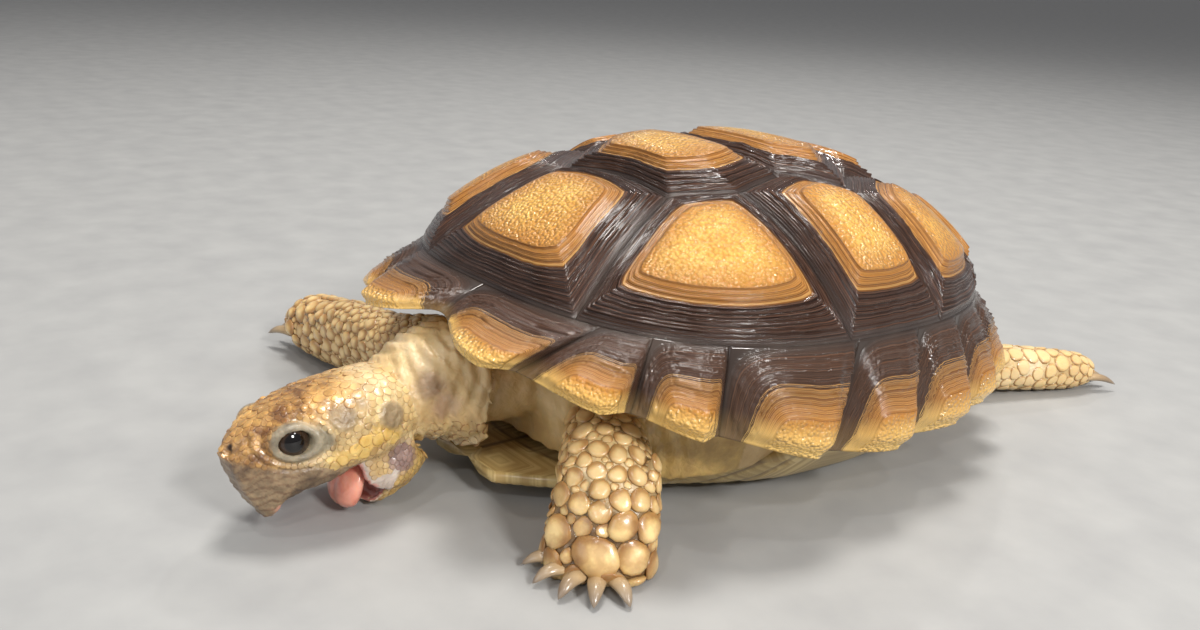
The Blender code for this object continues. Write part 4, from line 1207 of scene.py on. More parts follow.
LID_CENTRE = (16.5, 2.0)
LID_HALF = (2.25, 1.75)
EAR_CENTRE, EAR_RADIUS = (3.3, 8.7, 0.1), 2.2
NOSTRIL = (1.25, 3.1)        # to the side and up, on the front of the snout
SNOUT_FROM = 21.0
BEAK_EDGE = ((9.5, 8.4, -4.3), (12.5, 8.0, -3.6), (15.0, 7.3, -2.3), (17.6, 6.6, -1.3), (20.2, 5.0, -0.5),
             (22.4, 3.4, 0.8), (23.8, 1.8, 1.8), (24.6, 0, 2.2))
FOLDS = (
    # path in head space, width, depth
    (((9.0, 6.8, -4.9), (7.0, 7.8, -5.2), (5.0, 8.2, -6.4), (4.2, 8.0, -8.0)), 0.45, 0.4),
    (((13.0, 7.9, -3.9), (10.0, 8.9, -4.0), (7.4, 9.0, -3.4), (4.6, 9.2, -3.0), (2.2, 9.0, -3.6)),
     0.40, 0.26),
    (((12.4, 8.6, -1.2), (9.5, 9.3, -0.9), (7.2, 9.3, 0.2)), 0.38, 0.26),
    (((12.0, 8.1, 3.4), (9.2, 8.9, 2.2), (7.4, 9.2, 1.4), (6.4, 9.1, -0.4)), 0.34, 0.30),
    (((12.6, 7.3, 4.9), (9.8, 7.9, 5.2), (7.2, 8.4, 4.9), (5.2, 8.6, 3.6)), 0.34, 0.30),
    (((1.0, 8.2, 4.2), (-0.2, 8.8, 1.6), (-0.2, 8.8, -1.8), (0.8, 8.0, -5.2)), 0.50, 0.40),
    (((-1.6, 7.6, 3.0), (-2.6, 8.0, 0.0), (-2.2, 7.6, -3.6), (-1.0, 6.4, -6.6)), 0.50, 0.35),
    (((20.6, 3.2, 4.0), (22.4, 2.6, 3.3), (24.2, 1.7, 2.5)), 0.40, 0.38),
    (((18.4, 0.6, 6.2), (21.0, 0.8, 5.4), (23.6, 0.9, 3.9)), 0.46, 0.45),
)


def lid_distance(h):
    """1 on the free edge of the lids of either eye, less inside the opening, more outside."""
    f, u = (h[:, 0] - LID_CENTRE[0]) / LID_HALF[0], (h[:, 2] - LID_CENTRE[1]) / LID_HALF[1]
    return np.where(np.abs(h[:, 1]) > 2.5, np.hypot(f, u - 0.18 * f), 9.0)


def nostril_distance(both):
    off = np.hypot(both[:, 1] - NOSTRIL[0], both[:, 2] - NOSTRIL[1])
    return np.where(both[:, 0] > SNOUT_FROM, off, 9.0)


def mirrored(h):
    """Head space with the right side laid over the left."""
    return np.stack((h[:, 0], np.abs(h[:, 1]), h[:, 2]), -1)


def head_relief(h):
    """How far each point of the skin moves along its normal."""
    both = mirrored(h)
    d = lid_distance(h)
    move = 0.34 * np.exp(-((d - 1.24) / 0.20) ** 2) - 0.26 * np.exp(-((d - 1.70) / 0.16) ** 2)
    move += 0.16 * np.exp(-((d - 1.98) / 0.14) ** 2) - 0.20 * np.exp(-((d - 2.22) / 0.12) ** 2)
    ear = np.linalg.norm(both - np.array(EAR_CENTRE), axis=1) / EAR_RADIUS
    move += 0.08 * (1 - smooth(0.75, 1.05, ear)) - 0.20 * np.exp(-((ear - 1.14) / 0.18) ** 2)
    move += groove(both, BEAK_EDGE, 0.30, 0.20)
    for path, width, depth in FOLDS:
        move += groove(both, path, width, depth)
    move -= 1.0 * np.exp(-(nostril_distance(both) / 0.50) ** 2)
    return move


# %% [markdown]
# ### Wrinkles, the eye's pocket and the blunt nose
# Skin creases where it bends: round the neck, along the loose folds by the legs and finely on
# the face.  Waves that wander by other waves give creases that never run quite straight.  The
# skin inside the lids is then pushed in to make room for the eye, and the tip of the nose is
# drawn back to a blunt end.

# %% Shaping the skin
LID_POCKET = 2.1
BLUNT_FROM, BLUNT_REACH = 23.2, 1.1     # where the nose is drawn back from, and to how far past it


def waves(value, length):
    return np.sin(value * TAU / length)


def wrinkles(points, h):
    """Fine uneven creases: on the face, across the neck, and along the loose skin by the legs."""
    x, y, z = points.T
    f, _, u = h.T
    face = smooth(-1.0, 3.0, f) * smooth(1.4, 1.9, lid_distance(h)) * (y < -50)
    flow = u * 1.1 + 0.5 * np.sin(f * 0.9) + 0.35 * np.sin(f * 2.3 + u * 1.7)
    lines = np.maximum(waves(flow, 1.35), 0) ** 2 + 0.6 * waves(f * 1.3 + flow, 1.9)
    neck = smooth(1.0, -2.0, f) * (y < -44) * (z > 4)
    bend = 0.9 * np.sin(z * 0.55) + 0.6 * np.sin(x * 0.8 + 1.3)
    rings = waves(y + bend, 2.3) + 0.5 * np.sin((y * 1.7 - bend) * TAU / 2.9 + 1.0)
    loose = smooth(-46, -40, y) * (y < -28) * (x > -30)
    run = waves(x * 0.8 + y * 0.9 + 0.8 * np.sin(z * 0.5), 3.1)
    fine = waves(y * 0.9 + x * 0.5 + 0.7 * bend, 1.25) * waves(z - bend, 1.7)
    return (0.22 * rings + 0.10 * fine) * neck + 0.12 * run * loose + 0.085 * lines * face


points = mesh_points(skin_mesh)
normals = mesh_normals(skin_mesh)
h = to_head(points)
on_head = smooth(-4.0, -1.0, h[:, 0]) * (points[:, 1] < -50) * (lid_distance(h) > 0)
move = head_relief(h) * on_head + wrinkles(points, h)
points = points + normals * move[:, None]
past = (h[:, 0] - BLUNT_FROM).clip(0) * on_head
drawn_back = past - BLUNT_REACH * (1 - np.exp(-past / BLUNT_REACH))
points = points - drawn_back[:, None] * FORWARD
pocket = LID_POCKET * (1 - smooth(0.86, 1.0, lid_distance(h)))
points = points - (np.sign(h[:, 1]) * pocket)[:, None] * SIDE
set_points(skin_mesh, points)
print("relief from", move.min().round(2), "to", move.max().round(2), "mm")

# %% [markdown]
# ### Markings
# Skin and scales share one set of markings.  Each marking is a mask from 0 to 1, worked out
# from a point's place on the body, and is stored on the points under its own name.  One node
# group then lays the colours over each other in the same order on skin and scales, so that a
# scale always carries the colour of the skin it grows from.

# %% Masks for mouth and armour
def blob(points, centre, radius):
    """A round spot with a soft edge."""
    return 1 - smooth(0.55, 1.1, np.linalg.norm(points - np.array(centre), axis=1) / radius)


def inside_mouth(h, normals):
    """Palate, throat and the trough of the lower jaw, whose inner wall faces the middle."""
    s = np.abs(h[:, 1])
    jaw_up = FORWARD * math.sin(JAW_OPEN) + UP * math.cos(JAW_OPEN)
    inward = smooth(0.45, 0.15, normals @ SIDE * np.sign(h[:, 1])) * smooth(-0.35, -0.05, normals @ jaw_up)
    wide, edge = (along_stations(HEAD_STATIONS, h[:, 0], column) for column in (1, 3))
    palate = smooth(4.5, 5.5, h[:, 0]) * (s < 0.72 * wide) * (h[:, 2] < edge + 4.2) * (h[:, 2] > -9.5)
    palate = palate * smooth(0.78, 0.66, s / wide) * (1 - smooth(20.5, 22.0, h[:, 0]))
    q = h - np.array((JAW_HINGE[0], 0, JAW_HINGE[1]))
    along = q[:, 0] * math.cos(JAW_OPEN) - q[:, 2] * math.sin(JAW_OPEN)
    above = q[:, 0] * math.sin(JAW_OPEN) + q[:, 2] * math.cos(JAW_OPEN)
    trough = smooth(-4.4, -3.8, above) * (above < 3.5) * (along > -1) * (along < 9.4)
    trough = trough * inward * (s < 1.03 * along_stations(JAW_STATIONS, along, 1))
    return np.maximum(palate, trough), along, above


def armour_at(points):
    """Where legs and tail carry thick straw-yellow scales."""
    x, y, z = points.T
    near_fore = (x > 16) & (y < -33) & (y > -60)
    far_fore = smooth(-26, -34, x) * (y < -28)
    hind = (y > 38) * 0.8
    return np.maximum.reduce((near_fore * smooth(19.5, 15.5, z), far_fore, hind))


# %% [markdown]
# The beak, the ear and two spots on the temple are horny and grey-brown, the lids are pale
# grey, the cheek is golden and the corner of the mouth has a white lip.  Brown runs over crown
# and snout, and darker brown is painted in the creases and near black in the nostrils, as the
# shade in them.  Olive under the jaw and under the shell's front is partly painted shade.  The
# skin in the gaps between the scales of the forearm is wet, and is painted dark as the shade there.

# %% Markings by place
CHEEK_AT = (5.0, -6.6)
CHEEK_RUN = ((12.8, 8.0, -2.6), (9.0, 9.0, -2.4), (6.2, 9.2, -1.5), (3.4, 9.2, -3.4))


def markings(points, normals):
    """Every mark, by name, at each point."""
    h = to_head(points)
    both = mirrored(h)
    head = smooth(-3.0, 1.0, h[:, 0]) * (points[:, 1] < -50)
    mouth, along, above = inside_mouth(h, normals)
    crown = smooth(1.5, 4.8, h[:, 2]) * (0.35 + 0.65 * smooth(2.0, 9.0, h[:, 0]))
    snout = smooth(12.5, 18.5, h[:, 0]) * smooth(-3.5, 0.5, h[:, 2])
    below_edge = np.interp(h[:, 0], [p[0] for p in BEAK_EDGE], [p[2] for p in BEAK_EDGE]) - h[:, 2]
    beak = smooth(-0.6, 0.5, below_edge) * smooth(8.5, 10.5, h[:, 0])
    round_eye = np.arctan2(h[:, 2] - LID_CENTRE[1], h[:, 0] - LID_CENTRE[0])
    uneven = 1 + 0.10 * np.sin(3 * round_eye + 0.6) + 0.07 * np.sin(5 * round_eye)
    lids = (1 - smooth(1.40, 2.15, lid_distance(h) * uneven)) * smooth(5.0, 6.3, both[:, 1])
    cheek = 1 - smooth(0.9, 1.8, near_path(both, CHEEK_RUN))
    ear = blob(both, EAR_CENTRE, EAR_RADIUS * 1.1)
    temple = np.maximum(blob(both, (9.9, 8.6, 3.2), 2.6), blob(both, (6.6, 8.6, 4.3), 2.1))
    jowl = blob(both, (3.6, 7.2, -6.9), 2.9)
    from_cheek = np.hypot(h[:, 0] - CHEEK_AT[0], h[:, 2] - CHEEK_AT[1])
    lip = smooth(3.2, 4.0, from_cheek) * smooth(5.8, 4.9, from_cheek)
    lip = lip * smooth(5.5, 7.0, h[:, 0]) * smooth(-4.6, -5.4, h[:, 2])
    lip *= (np.abs(h[:, 1]) > 3.5) * (h[:, 0] < 12)
    lip = np.maximum(lip, smooth(-2.0, -1.4, above) * (above < 1.5) * smooth(2.0, 3.0, along) * (h[:, 2] < -8)
                     * (h[:, 0] < 16) * (1 - mouth * smooth(0.1, -0.4, above)))
    neck_patch = np.maximum(blob(points, (3.6, -54.6, 19.0), 3.2), blob(points, (5.0, -52.6, 15.6), 3.0))
    forearm = smooth(15.0, 7.0, points[:, 2]) * (points[:, 0] > 17)
    forearm = forearm * (points[:, 1] < -34) * (points[:, 1] > -60)
    hand = smooth(-46, -56, points[:, 0])
    flow = h[:, 2] * 1.3 + 0.5 * np.sin(h[:, 0] * 0.8) + 0.3 * np.sin(h[:, 0] * 2.1 + h[:, 2] * 1.9)
    streak = smooth(0.15, 0.9, waves(flow, 1.5) + 0.6 * waves(flow * 1.9 + h[:, 0] * 0.35, 1.3))
    # Folds and the skin round the nostrils are painted darker, as the shade in them.
    crease_shade = sum(np.exp(-(near_path(both, path) / width) ** 2) for path, width, _ in FOLDS)
    crease_shade = crease_shade + 1.3 * np.exp(-(nostril_distance(both) / 1.05) ** 2)
    # An olive tone is painted darker under the jaw and on the skin under the shell's front, partly as the
    # shade that falls there.
    under_jaw_shade = smooth(-0.6, -3.0, above) * head * (along > -3) * (h[:, 2] < -5.5)
    return {
        "brown": np.maximum(crown, snout) * head,
        "olive_shade": np.maximum(under_jaw_shade * 0.8, 0.9 * smooth(-44, -30, points[:, 1]) * (points[:, 1] < -20)),
        "horny": np.maximum.reduce((beak * (1 - mouth), ear * 0.8, temple * 0.55)) * head,
        "gold": cheek * head,
        "grey": np.maximum(np.maximum(ear * 0.2, temple * 0.3), lids) * head * (1 - beak),
        "streak": streak * np.maximum(beak, 0.45 * snout) * head * (1 - mouth),
        "crease_shade": np.clip(crease_shade, 0, 1) * head * (1 - mouth),
        # The nostrils are painted near black, as the shade inside them.
        "nostril_shade": smooth(0.66, 0.42, nostril_distance(both)) * head,
        "lilac": np.maximum(jowl, neck_patch * 0.5),
        "mouth": mouth * head,
        "lip": lip * head,
        "wet_gap_shade_and_stain": np.maximum(forearm, hand * 0.8),
        "armour": armour_at(points),
    }


# %% [markdown]
# ### Flesh colour
# Young spurred tortoises are cream and straw-yellow, browner on the snout and grey round the
# eyes.  Each colour is a pair, darker and lighter, chosen by noise, as real pigment lies in
# flecks.  The marks are laid over each other one after the other, in the order of this list.

# %% Flesh colour
MARK_COLOURS = (
    # mark, darker colour, lighter colour, how fully it covers
    # Partly the skin's olive tint and partly painted shade, under the jaw and under the shell's front.
    ("olive_shade", (0.33, 0.20, 0.045), (0.58, 0.38, 0.10), 0.85),
    ("brown", (0.155, 0.060, 0.018), (0.66, 0.36, 0.10), 0.9),
    ("gold", (0.60, 0.36, 0.08), (0.80, 0.56, 0.21), 0.95),
    ("horny", (0.080, 0.048, 0.027), (0.29, 0.20, 0.115), 0.92),
    ("streak", (0.050, 0.026, 0.016), (0.21, 0.115, 0.060), 0.75),
    ("grey", (0.105, 0.092, 0.066), (0.32, 0.28, 0.20), 0.92),
    # Painted shade: a darker brown in the folds and round the nostrils.
    ("crease_shade", (0.11, 0.050, 0.022), (0.26, 0.14, 0.060), 0.65),
    # Painted shade: near black inside the nostrils.
    ("nostril_shade", (0.014, 0.007, 0.005), (0.030, 0.015, 0.010), 1.0),
    ("lilac", (0.12, 0.068, 0.080), (0.34, 0.23, 0.225), 0.9),
    ("lip", (0.46, 0.38, 0.33), (0.66, 0.57, 0.51), 0.92),
    ("mouth", (0.50, 0.165, 0.13), (0.72, 0.33, 0.27), 1.0),
)


def flesh_group():
    """Colour of skin and scales from the marks, with flecks, and with painted shade in the creases and in the
    gaps between forearm scales.
    """
    group, given, out = new_group("flesh_colour", (("Gap", "Float", 0.0),),
                                  (("Colour", "Color"), ("Fleck", "Float")))
    fleck, cloud = clouds(group, 520.0, 4.0, Roughness=0.62), clouds(group, 120.0, 3.0)
    flecked = maths(group, "MULTIPLY_ADD", cloud, 0.5, times(group, fleck, 0.5))
    share = fade_in(group, flecked, 0.40, 0.60)
    colour = ramp(group, cloud, ((0.32, (0.48, 0.305, 0.13)), (0.5, (0.63, 0.45, 0.215)),
                                 (0.68, (0.78, 0.62, 0.39))))
    for key, darker, lighter, cover in MARK_COLOURS:
        shade = mix(group, share, darker, lighter)
        colour = mix(group, times(group, mark(group, key), cover), colour, shade)
    # The skin between the forearm scales is painted near black-brown, as the shade between the scales; the
    # same mask makes that skin wet and, on the scales, sets stains.
    gap = times(group, mark(group, "wet_gap_shade_and_stain"), given["Gap"])
    feed(out, Colour=mix(group, gap, colour, (0.085, 0.034, 0.012)), Fleck=fleck)
    return group


FLESH = flesh_group()
print(len(MARK_COLOURS), "marks in the flesh's colour")

# %% [markdown]
# ### The skin's material
# A little subsurface light makes thin skin look soft.  Tiny grains and fine creases are bump
# alone, as they are too small for the mesh.  The mouth and the gaps between scales are wetter.

# %% Skin
skin_look, tree, shader = new_material("whole_skin_look", Coat_Weight=0.25, Coat_Roughness=0.2,
                                       Subsurface_Weight=0.16, Subsurface_Scale=0.0012,
                                       Specular_IOR_Level=0.5)
shader.inputs["Subsurface Radius"].default_value = (1.0, 0.45, 0.25)
flesh = use_group(tree, FLESH, Gap=0.85)
feed(shader, Base_Color=flesh["Colour"])
wet = maths(tree, "MAXIMUM", mark(tree, "mouth"), mark(tree, "wet_gap_shade_and_stain"))
feed(shader, Roughness=greys(tree, wet, (0, 0.46), (1, 0.20)))
dry = maths(tree, "SUBTRACT", 1.0, mark(tree, "mouth"))
granules = times(tree, grains(tree, 1500.0).outputs["Distance"], dry)
creases = clouds(tree, 700.0, 6.0, Distortion=1.6)
small = bump(tree, granules, 0.45, -0.00015)
shade_normal(shader, bump(tree, creases, 0.7, 0.00024, Normal=small))

skin = bpy.data.objects.new("whole_skin", skin_mesh)
show(skin)
skin_mesh.materials.clear()
skin_mesh.materials.append(skin_look)
skin_mesh.shade_smooth()
skin_points = mesh_points(skin_mesh)
skin_normals = mesh_normals(skin_mesh)
skin_marks = markings(skin_points, skin_normals)
store_marks(skin_mesh, skin_marks)
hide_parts("trunk", "neck", "head", "lower_jaw", "foreleg_left", "foreleg_right",
            "hindleg_left", "hindleg_right", "tail")
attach(skin, "root")
print("skin triangles", sum(len(p.vertices) - 2 for p in skin_mesh.polygons))

# %% [markdown]
# ## Scales
# Every scale is a small closed body of its own, seated on the skin.  Geometry nodes could
# scatter copies of a few scales, but copies never fit their neighbours.  So sites are scattered
# by dart throwing, with a spacing that follows the size wanted at each place, and each scale is
# then shaped for its own site.

# %% Sites of scales
skin_tree = BVHTree.FromPolygons([tuple(p) for p in skin_points],
                                 [tuple(p.vertices) for p in skin_mesh.polygons])


def pick_sites(rng, chosen, size, tries, packing=0.86, fills=(1.0,)):
    """Random skin points, each with room for its own scale.  Later fills use smaller scales
    for the room that is left.  Returns the points' indices and the scales' radii."""
    order = rng.permutation(np.flatnonzero(chosen))[:tries]
    places, sizes, kept = np.zeros((len(order), 3)), np.zeros(len(order)), []
    for fill in fills:
        for i in order:
            count = len(kept)
            gap = np.linalg.norm(places[:count] - skin_points[i], axis=1)
            if (gap > (sizes[:count] + size[i] * fill) * packing).all():
                places[count], sizes[count] = skin_points[i], size[i] * fill
                kept.append(i)
    return np.array(kept), sizes[:len(kept)]


print("skin points for the scales to choose from:", len(skin_points))

# %% [markdown]
# ### Outline and profile
# A scale's outline is a rounded oval, cut back half way to each of its neighbours, as real
# scales press against each other.  Its height follows a profile: low tiles on the head and the
# hind legs, and swollen shields on the front of the forelegs.

# %% Outline of a scale
RAYS = 14
RAY_ANGLES = np.arange(RAYS) * TAU / RAYS
RAY_C, RAY_S = np.cos(RAY_ANGLES), np.sin(RAY_ANGLES)


def scale_outline(i, sites, radius, along, across, aspect, gap, soften):
    """How far a scale reaches along each ray before it meets its neighbours."""
    p = skin_points[sites[i]]
    near = np.linalg.norm(skin_points[sites] - p, axis=1)
    others = np.flatnonzero((near < radius[i] * 4.2) & (near > 1e-6)
                            & (skin_normals[sites] @ skin_normals[sites[i]] > 0.1))
    c, s = RAY_C, RAY_S
    reach = radius[i] * 1.22 / np.sqrt((c / aspect ** 0.5) ** 2 + (s * aspect ** 0.5) ** 2)
    for j in others:
        d = skin_points[sites[j]] - p
        x, y = d @ along, d @ across
        length = math.hypot(x, y)
        facing = (c * x + s * y) / max(length, 1e-6)
        limit = near[j] * radius[i] / (radius[i] + radius[j]) - gap / 2
        reach = np.where(facing > 0.08, np.minimum(reach, limit / np.maximum(facing, 0.08)), reach)
    reach = np.maximum(reach, radius[i] * 0.25)
    for _ in range(soften):
        reach = reach * 0.5 + (np.roll(reach, 1) + np.roll(reach, -1)) * 0.25
    return reach


# share of the outline, share of the height
TILE = ((1.0, -0.5), (0.99, 0.50), (0.88, 0.90), (0.60, 1.0), (0.28, 0.97))
SHIELD = ((0.88, -0.25), (1.0, 0.20), (0.96, 0.50), (0.82, 0.80), (0.58, 0.95), (0.28, 1.0))


print("rays per outline", RAYS, "and rows per tile", len(TILE))

# %% [markdown]
# ### One scale
# A scale follows the lie of the skin: it points down the leg or back along the head, give or
# take a small twist, and its edge sinks with the skin that falls away under it.

# %% Axes and seat of a scale
def scale_axes(n, lie, twist):
    """Directions along and across a scale that lies on the skin with normal n."""
    along = unit(lie - n * (lie @ n))
    across = np.cross(n, along)
    along = along * math.cos(twist) + across * math.sin(twist)
    return along, np.cross(n, along)


def seat_depths(p, n, flat, radius):
    """How far the skin falls away from the scale's plane, under each ray's end."""
    seat = np.empty(RAYS)
    for ray in range(RAYS):
        found = skin_tree.find_nearest(tuple(p + flat[ray]), 3.0)[0]
        seat[ray] = (np.array(found) - p) @ n if found else 0.0
    return np.clip(seat, -0.8 * radius, 0.25 * radius)


def swollen(rng, wobble):
    """An outline's own slight unevenness."""
    first, second, third = rng.uniform(0, TAU, 3)
    return 1 + wobble * (np.sin(2 * RAY_ANGLES + first) + 0.8 * np.sin(3 * RAY_ANGLES + second)
                         + 0.5 * np.sin(5 * RAY_ANGLES + third))


# %% [markdown]
# ### A coat of scales
# All scales of one part of the body are one mesh.  Each scale carries the marks of the skin
# point it grows from, a tone of its own, and how near each of its points is to the bright
# middle and tip.

# %% Laying scales
def lay_scales(name, sites, radius, lie, height, profile, aspect=1.0, gap=0.16, soften=1, tip=0.0,
               edge=3.0, turn=0.0, wobble=0.025, seed=1):
    """One mesh of closed scales.  lie is the direction in which they point, tip raises that end."""
    rng = np.random.default_rng(seed)
    count, rows = len(sites), len(profile)
    height = np.broadcast_to(height, count) * rng.uniform(0.85, 1.15, count)
    points, tones = [], []
    for i, site in enumerate(sites):
        p, n = skin_points[site], unit(skin_normals[site])
        along, across = scale_axes(n, lie, rng.normal(0, turn))
        reach = scale_outline(i, sites, radius, along, across, aspect, gap, soften)
        flat = (RAY_C * reach)[:, None] * along + (RAY_S * reach)[:, None] * across
        seat = seat_depths(p, n, flat, radius[i])
        swell = swollen(rng, wobble)
        for share, level in profile:
            raised = float(level > 0)
            lifted = height[i] * level * (1 + tip * RAY_C * share * raised)
            spread = share * (1 + 0.16 * tip * np.maximum(RAY_C, 0) * raised) * (swell if raised else 1)
            points.append(p + flat * spread[:, None] + n * (seat * share ** 2 + lifted)[:, None])
        points.append([p - n * (0.35 * height[i] + 0.1), p + n * height[i] * profile[-1][1]])
        tones.append(rng.uniform(0, 1))
    points = np.concatenate(points)
    points[:, 2] = np.maximum(points[:, 2], 0.04)
    per_scale = rows * RAYS + 2
    faces = [face for i in range(count) for face in closed_stack(rows, RAYS, i * per_scale)]
    shares = np.repeat([share for share, _ in profile], RAYS)
    around = np.tile(np.stack((RAY_C, RAY_S), -1), (rows, 1)) * shares[:, None]
    around = np.concatenate((around, np.zeros((2, 2))))
    to_tip = np.append(1 - shares, (0.0, 1.0)) * edge + 0.5 * around[:, 0]
    marks = {key: np.repeat(value[sites], per_scale) for key, value in skin_marks.items()}
    marks["tone"] = np.repeat(tones, per_scale)
    marks["to_tip"] = np.tile(to_tip.clip(0, 1), count)
    made = make_object(name, points, faces, scale_look, marks)
    bake_patches(made, skin_points[sites], np.tile(around, (count, 1)), per_scale)
    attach(made, "root")
    print(name, count, "scales,", sum(len(face) - 2 for face in faces), "triangles")


# %% [markdown]
# ### Patches for baking
# For baking, each scale is a tiny patch at its root's place on an unwrap of the skin.  The
# unwrap gives each part of the body one cell of a grid: the turn round the part's own axis
# across it, and the distance along that axis up it.

# %% Unwrap
PATCH = 0.003
ZENITH = own(0, 0, 1)
PART_AXES = (
    # start, end, zero direction of the turn
    (HEAD_AT, HEAD_AT + FORWARD * 26, UP),
    (own(-2, -34, 16), HEAD_AT, ZENITH),
    (own(20, -36, 13), own(30, -45.2, 0), own(0.66, -0.75, 0)),
    (own(-20, -37, 12.6), own(-70, -40.2, 5), ZENITH),
    (own(9, 30, 9), own(33.4, 78, 3.3), ZENITH),
    (own(-18, 33, 10.6), own(-29.8, 38.8, 0), own(-1, 0, 0)),
    (own(0, 38, 11), own(1.2, 55.5, 5.2), ZENITH),
    (own(0, -40, 12), own(0, 40, 12), ZENITH))


def unwrap(points):
    """Place of skin points in the shared map: a column per part, turn across and distance up."""
    best, place = np.full(len(points), 1e9), np.zeros((len(points), 2))
    for n, (start, end, zero) in enumerate(PART_AXES):
        axis = end - start
        t = (points - start) @ axis / (axis @ axis)
        off = points - start - np.clip(t, 0, 1)[:, None] * axis
        zero = unit(zero - axis * (zero @ axis) / (axis @ axis))
        turn = np.arctan2(off @ np.cross(unit(axis), zero), off @ zero) / TAU + 0.5
        up_cell = n // 4 + 0.08 + 0.84 * np.clip(t, -0.05, 1.05)
        cell = np.stack(((n % 4 + 0.06 + 0.88 * turn) / 4, up_cell / 2), -1)
        distance = np.linalg.norm(off, axis=1) + (12.0 if n == len(PART_AXES) - 1 else 0.0)
        place = np.where((distance < best)[:, None], cell, place)
        best = np.minimum(best, distance)
    return place


def bake_patches(made, roots, around, per_scale):
    """The map of a coat: each scale's outline, shrunk to a patch at its root's place."""
    spots = np.repeat(unwrap(roots), per_scale, axis=0) + around * PATCH / 2
    layer = made.data.uv_layers.new(name="OFBake")
    corner = np.empty(len(made.data.loops), np.int64)
    made.data.loops.foreach_get("vertex_index", corner)
    layer.data.foreach_set("uv", spots[corner].astype(np.float32).ravel())


print(len(PART_AXES), "parts in the unwrap")

# %% [markdown]
# ### Scale horn
# A scale takes the colour of the skin it grows from.  It is painted darker at the root, as the
# shade where it meets the skin, and paler towards the raised middle and tip, partly wear and
# partly a painted highlight.  The armour of legs and tail is straw-yellow, with brown stains near the feet.

# %% Scale material
scale_look, tree, shader = new_material("scale_horn", Coat_Weight=0.35, Coat_Roughness=0.14,
                                        Subsurface_Weight=0.08, Subsurface_Scale=0.0008,
                                        Specular_IOR_Level=0.5)
flesh = use_group(tree, FLESH, Gap=0.0)
tone = ramp(tree, mark(tree, "tone"), ((0, (0.78, 0.72, 0.66)), (0.5, (1, 1, 1)), (1, (1.12, 1.10, 1.06))))
toned = mix(tree, 1.0, flesh["Colour"], tone, "MULTIPLY")
# Darker at the root as painted shade where a scale meets the skin; paler to the middle and tip, partly wear
# and partly a painted highlight.
root_shade_tip_light = ramp(tree, mark(tree, "to_tip"), ((0.05, (0.50, 0.34, 0.20)), (0.35, (0.84, 0.75, 0.62)),
                                           (0.75, (1.10, 1.10, 1.08))))
shield = mix(tree, mark(tree, "wet_gap_shade_and_stain"), (0.72, 0.52, 0.25), (0.82, 0.60, 0.27))
on_arm = mix(tree, times(tree, mark(tree, "armour"), 0.75), toned, shield)
stain = times(tree, mark(tree, "wet_gap_shade_and_stain"), fade_out(tree, clouds(tree, 420.0, 3.0), 0.42, 0.62))
on_arm = mix(tree, times(tree, stain, 0.55), on_arm, (0.34, 0.165, 0.060))
feed(shader, Base_Color=mix(tree, 0.85, on_arm, root_shade_tip_light, "MULTIPLY"))
feed(shader, Roughness=greys(tree, flesh["Fleck"], (0.3, 0.26), (0.7, 0.42)))
shade_normal(shader, bump(tree, flesh["Fleck"], 0.4, 0.00012))
print("scale material,", len(tree.nodes), "nodes")

# %% [markdown]
# ### Head, throat and neck
# The crown has broad low tiles that get smaller towards the snout and the eyes.  The cheek
# carries a row of larger golden ones.  Beak, ear, lids, nostrils and the inside of the mouth
# stay bare, and so do two horny spots on the temple.

# %% Scales of the head
SMALLEST = 0.36
head_at = to_head(skin_points)
both = mirrored(head_at)
lid = lid_distance(head_at)
bare = np.maximum.reduce((skin_marks["horny"], skin_marks["mouth"], skin_marks["lip"],
                          (skin_marks["grey"] > 0.5) * 1.0, (skin_marks["crease_shade"] > 0.75) * 1.0))
for spot, reach in (((9.9, 8.6, 3.2), 2.3), ((6.6, 8.6, 4.3), 1.9), (EAR_CENTRE, EAR_RADIUS * 1.05)):
    bare = np.maximum(bare, np.linalg.norm(both - np.array(spot), axis=1) < reach)
on_head = (head_at[:, 0] > -0.5) & (skin_points[:, 1] < -52) & (bare < 0.35) & (head_at[:, 0] < 24.6)
size = 0.48 + 0.24 * smooth(1.5, 4.5, head_at[:, 2]) + 0.34 * skin_marks["gold"]
size *= 1 - 0.42 * (1 - smooth(2.2, 3.6, lid)) - 0.18 * smooth(18, 23, head_at[:, 0])
size *= 1 - 0.25 * smooth(-5, -8, head_at[:, 2])
size = np.maximum(size, SMALLEST)
rng = np.random.default_rng(31)
sites, radii = pick_sites(rng, on_head, size, 9000)
lay_scales("scales_head", sites, radii, -FORWARD, 0.02 + 0.03 * radii, TILE,
           gap=0.04, soften=0, tip=0.25, edge=6.0, seed=32)

# %% [markdown]
# The neck's upper side is bare and wrinkled.  Low granules lie under the collar and on the
# throat, where the skin rubs on the forelegs.

# %% Scales of the throat
x, y, z = skin_points.T
throat = (y < -45.5) & (head_at[:, 0] < -0.5) & (x > -30) & (x < 16) & (z > 2) & (z < 12.5)
sites, radii = pick_sites(rng, throat, np.full(len(x), 0.66), 5000)
lay_scales("scales_neck", sites, radii, own(0, 1, -0.2), 0.035, TILE,
           gap=0.07, soften=0, tip=0.2, seed=33)

# %% [markdown]
# ### Forelegs
# The front of each foreleg is armoured: small tiles at the elbow, and towards the foot ever
# larger swollen shields, between which small ones fill the room.  Their tips point down the
# leg.  The size wanted is a number at each skin point, larger where the skin faces forwards.

